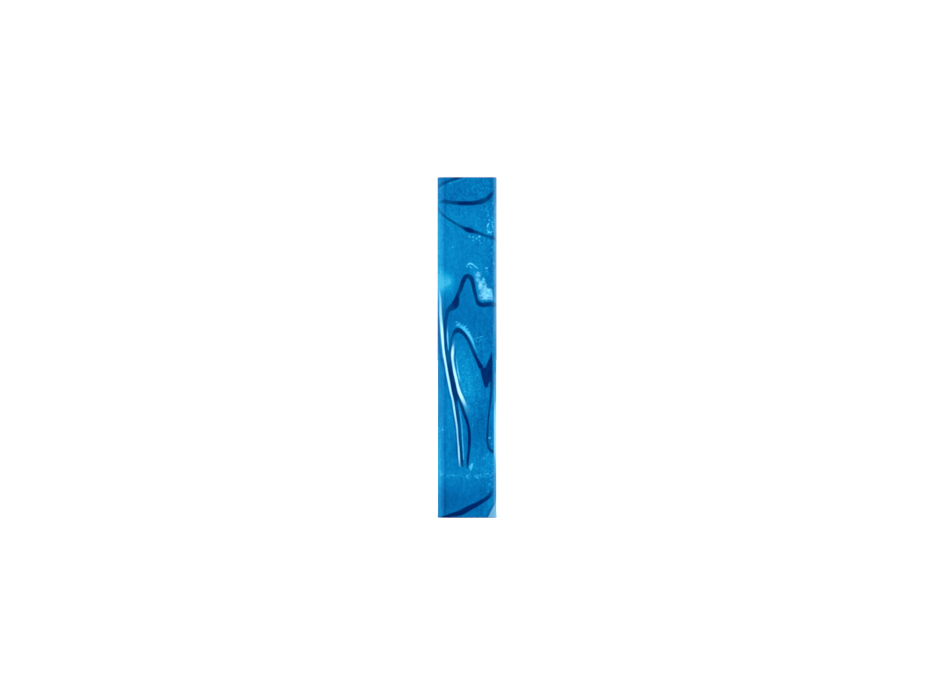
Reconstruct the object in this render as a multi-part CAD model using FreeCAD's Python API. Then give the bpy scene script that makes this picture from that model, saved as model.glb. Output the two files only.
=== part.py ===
import FreeCAD, Part
import math
import os

# A square turning blank of cast resin: a mid-blue pearl body with navy, white
# and pale-blue pours stirred into it.  Every pour is a leaning sheet of its own
# pigmented resin that runs through the depth of the bar and is ground flush
# with its faces.  Millimetres, +Z up the bar, front face towards -Y, origin at
# the middle of the lower cut end.

V = FreeCAD.Vector

# ---- driving dimensions ---------------------------------------------------
WIDTH = 22.0           # across X
DEPTH = 22.0           # across Y
LENGTH = 127.0         # along Z
FRONT_LEFT_BEVEL = 2.3     # flat bevel on the front left long edge
FRONT_RIGHT_ROUND = 1.6    # rounded front right long edge
BACK_ROUND = 1.8           # both back long edges
END_ARRIS = 0.3            # tiny arris round both cut ends
LEAN_X = -0.42         # sideways lean of every pour, per millimetre of depth
LEAN_Z = -0.30         # endways lean of every pour, per millimetre of depth
OVERRUN = 1.5          # how far a pour's sheet is drawn past the bar before trimming
CHORD_TOLERANCE = 0.02     # how closely the pours' flat facets follow their curves

# Ribbons: (across, up, thickness) along the middle line, in the front plane.
# Pools: (across, up) round the outline, in the front plane.
NAVY_RIBBONS = {
    "navy_dark_band": [
        (-6.98, 61.27, 2.12), (-6.87, 59.41, 2.05), (-6.61, 57.55, 2.05), (-6.33, 55.69, 2.01),
        (-6.01, 53.82, 1.98), (-5.64, 51.96, 2.05), (-5.25, 50.10, 2.16), (-4.88, 48.23, 2.24),
        (-4.54, 46.37, 2.24), (-4.30, 44.88, 1.90), (-4.21, 43.76, 1.57), (-4.15, 42.46, 1.23),
        (-3.96, 41.15, 1.23), (-3.74, 39.66, 1.23), (-3.54, 38.17, 1.19), (-3.29, 36.31, 1.23),
        (-2.99, 34.07, 1.16), (-2.83, 31.84, 1.19), (-2.75, 29.60, 1.32), (-2.49, 27.37, 1.04),
        (-2.32, 25.13, 1.01), (-2.16, 22.90, 1.04), (-2.01, 21.03, 1.12), (-1.82, 19.36, 0.89),
    ],
    "navy_inner_strand": [
        (-3.85, 46.37, 1.01), (-3.26, 44.93, 1.29), (-2.82, 43.82, 1.16), (-2.41, 42.69, 1.14),
        (-1.95, 41.55, 1.14), (-1.53, 40.05, 1.19), (-0.84, 38.18, 1.06), (-0.25, 36.67, 1.14),
        (0.30, 34.81, 1.16), (0.71, 32.58, 1.10), (0.84, 30.35, 1.10), (0.80, 28.11, 1.10),
        (0.75, 25.87, 1.02), (0.45, 23.64, 1.02), (0.26, 21.40, 0.99), (0.20, 19.73, 0.88),
        (0.15, 18.68, 0.58),
    ],
    "navy_corner_streak": [
        (-11.55, 122.51, 1.04), (-9.79, 124.06, 1.04), (-9.11, 124.60, 1.16), (-8.08, 124.99, 1.10),
        (-6.58, 125.68, 1.02), (-5.09, 126.20, 1.04), (-3.23, 126.75, 1.04), (-1.37, 127.43, 1.12),
        (0.50, 128.21, 1.04),
    ],
    "navy_upper_arc": [
        (-8.93, 118.22, 1.18), (-8.57, 118.01, 1.56), (-7.68, 117.88, 1.47), (-6.19, 117.58, 1.34),
        (-4.33, 117.40, 1.43), (-2.46, 117.27, 1.55), (-0.59, 117.27, 1.56), (1.28, 117.29, 1.58),
        (3.15, 117.46, 1.62), (5.03, 117.85, 1.79), (6.55, 118.35, 1.73), (7.72, 119.16, 1.60),
        (8.56, 119.98, 1.38), (9.29, 120.88, 1.06), (9.79, 121.90, 0.55),
    ],
    "navy_long_diagonal": [
        (-12.67, 119.72, 0.56), (-11.18, 118.23, 0.60), (-9.94, 116.32, 0.35), (-9.62, 115.03, 0.35),
        (-9.10, 113.77, 0.39), (-8.67, 112.79, 0.74), (-8.05, 112.16, 0.80), (-6.93, 111.34, 0.82),
        (-5.82, 110.66, 0.84), (-4.72, 109.97, 0.84), (-3.24, 109.16, 0.89), (-1.74, 108.34, 1.04),
        (-0.59, 107.77, 1.40), (0.36, 107.41, 1.83), (1.30, 107.06, 1.75), (2.42, 106.72, 1.32),
        (3.54, 106.41, 1.16), (4.64, 105.98, 1.12), (5.75, 105.57, 1.01), (6.86, 105.20, 0.89),
        (7.99, 104.82, 1.06), (8.95, 104.58, 1.49), (10.02, 104.38, 1.38), (11.20, 103.70, 0.85),
        (12.80, 102.90, 0.90), (14.80, 102.70, 1.00), (17.00, 103.70, 1.05), (19.20, 105.50, 1.00),
        (21.50, 107.80, 0.90), (24.50, 110.60, 0.80),
    ],
    "navy_star_peak": [
        (26.50, 90.60, 1.00), (23.20, 92.40, 1.05), (20.60, 93.20, 1.15), (18.40, 92.20, 1.15),
        (16.90, 89.60, 1.00), (15.60, 86.00, 0.95), (14.20, 82.60, 1.10), (12.60, 80.40, 1.30),
        (11.10, 79.60, 1.50), (9.68, 79.59, 1.68), (8.73, 79.59, 1.79), (7.61, 79.55, 1.70),
        (6.49, 79.40, 1.70), (5.33, 79.45, 1.73), (4.34, 79.99, 1.60), (3.66, 81.02, 1.29),
        (3.30, 82.30, 1.23), (3.00, 83.62, 1.32), (2.69, 84.92, 1.30), (2.42, 86.24, 1.38),
        (2.15, 87.56, 1.38), (1.81, 88.80, 1.57), (1.09, 89.80, 1.68), (0.15, 90.14, 1.64),
        (-0.67, 89.71, 1.62), (-1.22, 88.77, 1.58), (-1.68, 87.58, 1.57), (-2.11, 86.25, 1.58),
        (-2.61, 84.95, 1.53), (-3.24, 83.67, 1.38), (-3.68, 82.36, 1.60), (-3.98, 80.95, 2.09),
        (-4.50, 79.57, 2.80), (-5.55, 78.53, 2.38), (-6.67, 77.78, 1.75), (-7.34, 76.55, 1.30),
        (-7.63, 74.95, 1.12), (-7.97, 73.20, 1.23), (-8.23, 70.96, 1.27), (-8.23, 68.73, 1.16),
        (-8.16, 66.86, 1.16), (-8.04, 65.00, 1.12), (-7.86, 63.14, 1.23), (-7.60, 61.27, 1.42),
        (-7.34, 59.78, 1.57),
    ],
    "navy_loop": [
        (-6.26, 58.67, 1.27), (-6.40, 60.53, 1.08), (-6.30, 62.38, 1.01), (-6.09, 64.62, 1.08),
        (-5.87, 66.47, 0.88), (-5.29, 67.91, 0.84), (-4.78, 69.00, 1.14), (-4.11, 69.72, 1.66),
        (-3.20, 69.93, 1.77), (-2.31, 69.52, 1.51), (-1.44, 68.84, 1.29), (-0.62, 67.93, 1.25),
        (0.11, 66.80, 1.17), (0.83, 65.43, 1.06), (1.49, 63.86, 1.19), (2.13, 62.38, 1.25),
        (2.82, 60.91, 1.23), (3.50, 59.42, 1.16), (4.23, 57.92, 1.40), (5.03, 56.45, 1.84),
    ],
    "navy_right_hook": [
        (9.06, 52.33, 0.89), (9.08, 50.84, 0.89), (9.08, 49.35, 0.88), (9.06, 47.86, 0.86),
        (8.99, 46.56, 0.82), (8.77, 44.51, 0.82), (8.54, 42.28, 0.69), (8.26, 40.05, 0.60),
        (8.03, 37.82, 0.60), (7.83, 35.96, 0.56), (7.65, 33.71, 0.73), (7.55, 31.47, 0.89),
        (7.58, 29.61, 0.78), (7.65, 27.92, 0.69), (7.95, 26.50, 0.76), (8.64, 25.34, 1.02),
        (9.59, 24.80, 1.06), (10.76, 24.83, 0.89),
    ],
    "navy_bottom_sweep": [
        (-10.43, 0.04, 0.89), (-9.40, 0.17, 1.02), (-8.05, 0.40, 1.12), (-6.19, 0.98, 1.32),
        (-4.32, 1.37, 1.70), (-2.45, 1.91, 2.06), (-0.61, 2.82, 2.06), (1.22, 3.85, 1.90),
        (3.11, 4.76, 1.70), (5.00, 5.82, 1.53), (6.51, 6.74, 1.43), (7.82, 7.70, 1.45), (8.65, 8.80, 1.34),
        (9.15, 9.91, 1.01),
    ],
    "navy_back_curl": [
        (13.10, 27.50, 0.50), (14.00, 31.50, 0.80), (14.60, 36.50, 1.00), (15.20, 42.50, 1.05),
        (16.20, 48.50, 1.10), (17.90, 54.00, 1.25), (20.30, 58.40, 1.40), (23.20, 61.40, 1.40),
        (26.50, 63.20, 1.30),
    ],
    "navy_back_hook": [
        (12.40, 110.60, 0.45), (13.30, 113.40, 0.75), (14.80, 116.20, 0.95), (16.70, 117.90, 1.05),
        (18.70, 118.00, 1.05), (20.60, 116.60, 0.95), (22.60, 114.20, 0.85),
    ],
}
LIGHT_RIBBONS = {
    "white_left_ribbon": [
        (-12.30, 94.38, 0.60), (-11.03, 91.03, 0.75), (-9.96, 87.26, 0.35), (-9.64, 84.49, 0.39),
        (-9.49, 82.18, 0.47), (-9.43, 79.54, 0.51), (-9.39, 76.53, 0.56), (-9.29, 73.88, 0.57),
        (-9.15, 71.20, 0.57), (-9.04, 68.54, 0.55), (-8.92, 65.86, 0.52), (-8.74, 63.16, 0.51),
        (-8.43, 60.15, 0.76), (-7.89, 56.80, 0.75), (-7.33, 53.45, 0.78), (-6.70, 50.09, 0.78),
        (-6.05, 46.74, 0.69), (-5.31, 43.77, 0.67), (-4.80, 40.42, 0.67), (-4.28, 37.06, 0.61),
        (-3.80, 33.71, 0.54), (-3.55, 30.35, 0.45), (-3.24, 27.00, 0.54), (-3.03, 23.64, 0.63),
        (-2.86, 21.03, 0.58), (-2.63, 19.17, 0.37),
    ],
    "white_inner_crescent": [
        (-4.87, 66.30, 0.45), (-5.04, 64.99, 0.76), (-5.29, 63.13, 0.89), (-5.44, 61.27, 0.95),
        (-5.44, 59.41, 0.79), (-5.21, 57.56, 0.77), (-4.91, 55.70, 0.86), (-4.56, 53.84, 0.94),
        (-4.11, 51.98, 0.96), (-3.70, 50.11, 0.93), (-3.26, 48.24, 0.98), (-2.67, 46.37, 1.13),
        (-1.98, 44.89, 1.23), (-1.31, 43.40, 1.27), (-0.64, 41.90, 1.37), (0.01, 40.38, 1.40),
        (0.65, 38.87, 1.09),
    ],
    "pale_loop_edge": [
        (-4.02, 71.69, 0.72), (-3.00, 71.64, 1.01), (-1.89, 71.12, 1.16), (-0.91, 70.27, 1.20),
        (-0.06, 69.23, 1.04), (0.74, 68.12, 0.84), (1.50, 66.87, 0.84), (2.12, 65.51, 0.76),
        (2.64, 64.09, 0.61), (3.24, 62.74, 0.52), (3.96, 61.55, 0.48),
    ],
    "pale_thread_left": [
        (-7.25, 72.08, 0.26), (-7.34, 70.22, 0.39), (-7.30, 68.35, 0.47), (-7.24, 66.49, 0.45),
        (-7.09, 64.63, 0.41), (-6.92, 62.39, 0.34),
    ],
    "pale_thread_middle": [
        (-3.12, 42.85, 0.34), (-2.84, 40.80, 0.37), (-2.55, 38.55, 0.45), (-2.23, 36.30, 0.43),
        (-1.96, 34.07, 0.39), (-1.81, 31.83, 0.35), (-1.73, 29.60, 0.35), (-1.56, 26.99, 0.39),
        (-1.41, 24.38, 0.39), (-1.32, 21.77, 0.37),
    ],
    "pale_thread_loop": [
        (-4.15, 60.35, 0.37), (-3.85, 57.92, 0.43), (-3.56, 55.67, 0.45), (-3.20, 53.43, 0.50),
        (-2.67, 51.20, 0.45), (-2.14, 48.96, 0.26),
    ],
    "white_right_strip": [
        (10.90, 61.65, 0.50), (11.05, 57.92, 0.70), (11.00, 53.08, 1.10), (10.95, 49.35, 1.50),
        (10.98, 44.88, 1.90), (11.25, 42.27, 2.20), (11.40, 37.80, 2.60), (11.48, 32.58, 2.70),
        (11.45, 28.11, 2.60), (11.27, 24.01, 2.20), (11.25, 20.29, 1.50), (11.33, 17.31, 0.80),
    ],
    "white_back_ribbon": [
        (13.20, 60.50, 0.40), (14.00, 65.00, 0.60), (15.00, 69.20, 0.75), (16.50, 73.00, 0.85),
        (18.30, 75.80, 0.85), (20.50, 77.90, 0.80), (23.50, 79.60, 0.70),
    ],
}
NAVY_POOLS = {
    "navy_v_pool": [
        (4.37, 57.92), (5.22, 56.84), (6.12, 56.06), (6.86, 56.28), (7.42, 57.40), (7.91, 58.59),
        (8.43, 59.71), (8.88, 60.98), (9.10, 62.02), (9.36, 61.05), (9.45, 58.67), (9.45, 54.94),
        (9.45, 51.77), (9.32, 50.47), (8.80, 50.62), (8.35, 50.51), (7.98, 49.76), (7.65, 48.90),
        (7.09, 48.57), (6.45, 49.02), (6.08, 50.32), (5.67, 51.96), (5.26, 53.64), (4.93, 55.13),
        (4.63, 56.43),
    ],
}
LIGHT_POOLS = {
    "pale_cloud": [
        (3.06, 91.45), (3.70, 92.05), (4.81, 91.64), (5.82, 90.52), (6.71, 89.00), (7.39, 87.36),
        (8.28, 86.09), (9.21, 85.12), (9.83, 83.65), (9.91, 82.09), (8.91, 81.17), (7.05, 81.06),
        (5.60, 81.39), (4.74, 82.88), (4.33, 84.75), (4.03, 86.61), (3.62, 88.29), (3.06, 89.78),
    ],
    "pale_corner_wedge": [
        (15.60, 7.00), (13.60, 9.60), (11.40, 7.60), (10.60, 5.60), (9.83, 4.13), (9.10, 2.81),
        (8.43, 1.51), (7.83, 0.17), (7.40, -2.00), (11.50, -3.00), (15.50, -2.00), (17.20, 2.00),
    ],
    "pale_foot": [
        (0.75, 19.69), (1.35, 20.14), (2.02, 19.99), (2.32, 19.17), (2.09, 18.20), (1.35, 17.83),
        (0.86, 18.57),
    ],
}

# Order of casting: a pour named earlier keeps its shape, later ones stop at it.
ORDER_LIGHT = [
    "white_left_ribbon", "white_inner_crescent", "white_right_strip", "pale_loop_edge",
    "pale_thread_left", "pale_thread_middle", "pale_thread_loop", "pale_cloud",
    "pale_corner_wedge", "pale_foot", "white_back_ribbon",
]
ORDER_NAVY = [
    "navy_dark_band", "navy_inner_strand", "navy_v_pool", "navy_loop", "navy_star_peak",
    "navy_right_hook", "navy_long_diagonal", "navy_upper_arc", "navy_corner_streak",
    "navy_bottom_sweep", "navy_back_curl", "navy_back_hook",
]


# The veins that run from edge to edge part the blue resin into these cells.
BODY_CELLS = ["blue_pearl_body", "blue_pearl_top", "blue_pearl_middle"]


def smooth(rows, closed=False, steps=16):
    """Catmull-Rom curve through the rows, all columns together."""
    n = len(rows)
    out = []
    for i in range(n if closed else n - 1):
        if closed:
            p0, p1, p2, p3 = rows[i - 1], rows[i], rows[(i + 1) % n], rows[(i + 2) % n]
        else:
            p0, p1, p2, p3 = rows[max(i - 1, 0)], rows[i], rows[i + 1], rows[min(i + 2, n - 1)]
        for k in range(steps):
            t = k / float(steps)
            out.append(tuple(
                0.5 * (2 * b + (c - a) * t + (2 * a - 5 * b + 4 * c - d) * t * t
                       + (3 * b - a - 3 * c + d) * t ** 3)
                for a, b, c, d in zip(p0, p1, p2, p3)))
    if not closed:
        out.append(tuple(rows[-1]))
    return out


def thin(points, tolerance=CHORD_TOLERANCE):
    """Drop the points that lie within the tolerance of the chord."""
    if len(points) < 3:
        return points
    (x0, y0), (x1, y1) = points[0], points[-1]
    length = math.hypot(x1 - x0, y1 - y0) or 1e-9
    worst, at = 0.0, 0
    for i in range(1, len(points) - 1):
        x, y = points[i]
        away = abs((x - x0) * (y1 - y0) - (y - y0) * (x1 - x0)) / length
        if away > worst:
            worst, at = away, i
    if worst <= tolerance:
        return [points[0], points[-1]]
    return thin(points[:at + 1], tolerance)[:-1] + thin(points[at:], tolerance)


def face_of(points):
    """Plane face at the depth where the pours' sheets start."""
    ring = [V(u - LEAN_X * OVERRUN, -DEPTH / 2.0 - OVERRUN, w - LEAN_Z * OVERRUN)
            for u, w in points]
    return Part.Face(Part.makePolygon(ring + [ring[0]]))


def ribbon_face(rows):
    """Closed outline of a ribbon from its middle line and thickness."""
    line = smooth(rows)
    n = len(line)
    left, right = [], []
    for i, (u, w, t) in enumerate(line):
        a, b = line[max(i - 1, 0)], line[min(i + 1, n - 1)]
        du, dw = b[0] - a[0], b[1] - a[1]
        length = math.hypot(du, dw)
        nu, nw = -dw / length, du / length
        left.append((u + nu * t / 2.0, w + nw * t / 2.0))
        right.append((u - nu * t / 2.0, w - nw * t / 2.0))
    return face_of(thin(left) + list(reversed(thin(right))))


def pool_face(rows):
    """Closed outline of a pool, one smooth curve round."""
    line = smooth(rows, closed=True)
    half = len(line) // 2
    return face_of(thin(line[:half + 1])[:-1] + thin(line[half:] + [line[0]])[:-1])


def sheet(face):
    run = DEPTH + 2.0 * OVERRUN
    return face.extrude(V(LEAN_X * run, run, LEAN_Z * run))


def bar():
    """The sawn and bevelled bar."""
    hw, hd = WIDTH / 2.0, DEPTH / 2.0
    bl, rr, br = FRONT_LEFT_BEVEL, FRONT_RIGHT_ROUND, BACK_ROUND
    s = math.sqrt(0.5)

    def arc(cx, cy, r, a0):
        p = [V(cx + r * math.cos(math.radians(a)), cy + r * math.sin(math.radians(a)), 0)
             for a in (a0, a0 + 45.0, a0 + 90.0)]
        return p

    fr = arc(hw - rr, -hd + rr, rr, -90.0)
    bk = arc(hw - br, hd - br, br, 0.0)
    bk2 = arc(-hw + br, hd - br, br, 90.0)
    p0, p1 = V(-hw + bl, -hd, 0), V(-hw, -hd + bl, 0)
    edges = [
        Part.makeLine(p0, fr[0]), Part.Arc(*fr).toShape(), Part.makeLine(fr[2], bk[0]),
        Part.Arc(*bk).toShape(), Part.makeLine(bk[2], bk2[0]), Part.Arc(*bk2).toShape(),
        Part.makeLine(bk2[2], p1), Part.makeLine(p1, p0),
    ]
    solid = Part.Face(Part.Wire(edges)).extrude(V(0, 0, LENGTH))
    ends = [e for e in solid.Edges
            if max(v.Z for v in e.Vertexes) < 1e-6 or min(v.Z for v in e.Vertexes) > LENGTH - 1e-6]
    return solid.makeChamfer(END_ARRIS, ends)


def main():
    os.makedirs("parts", exist_ok=True)
    outlines = {}
    for table in (NAVY_RIBBONS, LIGHT_RIBBONS):
        for name, rows in table.items():
            outlines[name] = ribbon_face(rows)
    for table in (NAVY_POOLS, LIGHT_POOLS):
        for name, rows in table.items():
            outlines[name] = pool_face(rows)

    block = bar()
    order = ORDER_LIGHT + ORDER_NAVY
    faces, nodes = {}, {}
    for i, name in enumerate(order):
        face = outlines[name]
        before = [faces[o] for o in order[:i]
                  if faces[o].BoundBox.intersect(face.BoundBox)]
        before = [f for f in before if face.common(f).Area > 1e-6]
        if before:
            face = face.cut(before)
        faces[name] = face
        kept = [f for f in face.Faces if f.Area > 0.15]
        solids = []
        for f in kept:
            solids += sheet(f).common(block).Solids
        solids = [s for s in solids if s.Volume > 0.5]
        nodes[name] = solids[0] if len(solids) == 1 else Part.makeCompound(solids)

    body = block.cut([nodes[n] for n in order])
    cells = sorted(body.Solids, key=lambda s: -s.Volume)
    # Slivers of blue caught between two pours belong to the pour they touch.
    for crumb in [s for s in cells if s.Volume < 20.0]:
        cells = [s for s in cells if not s.isSame(crumb)]
        for name in reversed(order):
            if nodes[name].distToShape(crumb)[0] > 1e-6:
                continue
            joined = nodes[name].fuse(crumb).removeSplitter()
            if len(joined.Solids) == 1 and joined.isValid():
                nodes[name] = joined.Solids[0]
                print("crumb of %.3f goes to %s" % (crumb.Volume, name))
                break
        else:
            print("crumb of %.3f left out" % crumb.Volume)
    for label, cell in zip(BODY_CELLS, cells):
        nodes[label] = cell
    if len(cells) != len(BODY_CELLS):
        for c in cells:
            m = c.CenterOfMass
            d = m.y + DEPTH / 2.0
            print("body cell %.2f at x %.2f y %.2f z %.2f, pattern u %.2f w %.2f"
                  % (c.Volume, m.x, m.y, m.z, m.x - LEAN_X * d, m.z - LEAN_Z * d))

    total = 0.0
    for name, shape in nodes.items():
        shape.exportStep(os.path.join("parts", name + ".step"))
        total += shape.Volume
        print("%-24s solids %d  faces %3d  volume %9.2f  valid %s"
              % (name, len(shape.Solids), len(shape.Faces), shape.Volume, shape.isValid()))
    print("sum of nodes %.2f, whole bar %.2f, difference %.3f"
          % (total, block.Volume, total - block.Volume))


main()
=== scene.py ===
import math

import bpy
import numpy as np
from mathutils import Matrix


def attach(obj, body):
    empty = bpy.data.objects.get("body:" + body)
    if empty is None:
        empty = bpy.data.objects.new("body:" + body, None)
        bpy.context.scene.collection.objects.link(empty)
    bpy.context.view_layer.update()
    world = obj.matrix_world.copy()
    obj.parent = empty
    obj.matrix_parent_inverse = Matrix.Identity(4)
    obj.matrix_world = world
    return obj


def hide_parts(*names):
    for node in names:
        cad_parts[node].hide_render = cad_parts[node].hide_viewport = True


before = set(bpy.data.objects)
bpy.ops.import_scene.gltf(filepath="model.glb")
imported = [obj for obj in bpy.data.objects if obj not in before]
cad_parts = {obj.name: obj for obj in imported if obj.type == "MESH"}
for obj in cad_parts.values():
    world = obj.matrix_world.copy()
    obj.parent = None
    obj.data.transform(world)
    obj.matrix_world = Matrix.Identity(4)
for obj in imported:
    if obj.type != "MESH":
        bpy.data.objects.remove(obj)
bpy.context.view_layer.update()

# Marbled resin turning blank.  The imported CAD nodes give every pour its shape;
# here each one is refined into a dense closed mesh, and one resin shader is
# shared by all of them so that the swirl reads as a single casting.
# Pattern coordinates are millimetres in the plane of the front face:
# u across (to the right), w up.  The pours lean as they go deeper.

WIDTH, DEPTH, LENGTH = 22.0, 22.0, 127.0
LEAN_X, LEAN_Z = -0.42, -0.30
BEVEL, FRONT_ROUND, BACK_ROUND = 2.3, 1.6, 1.8

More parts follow.
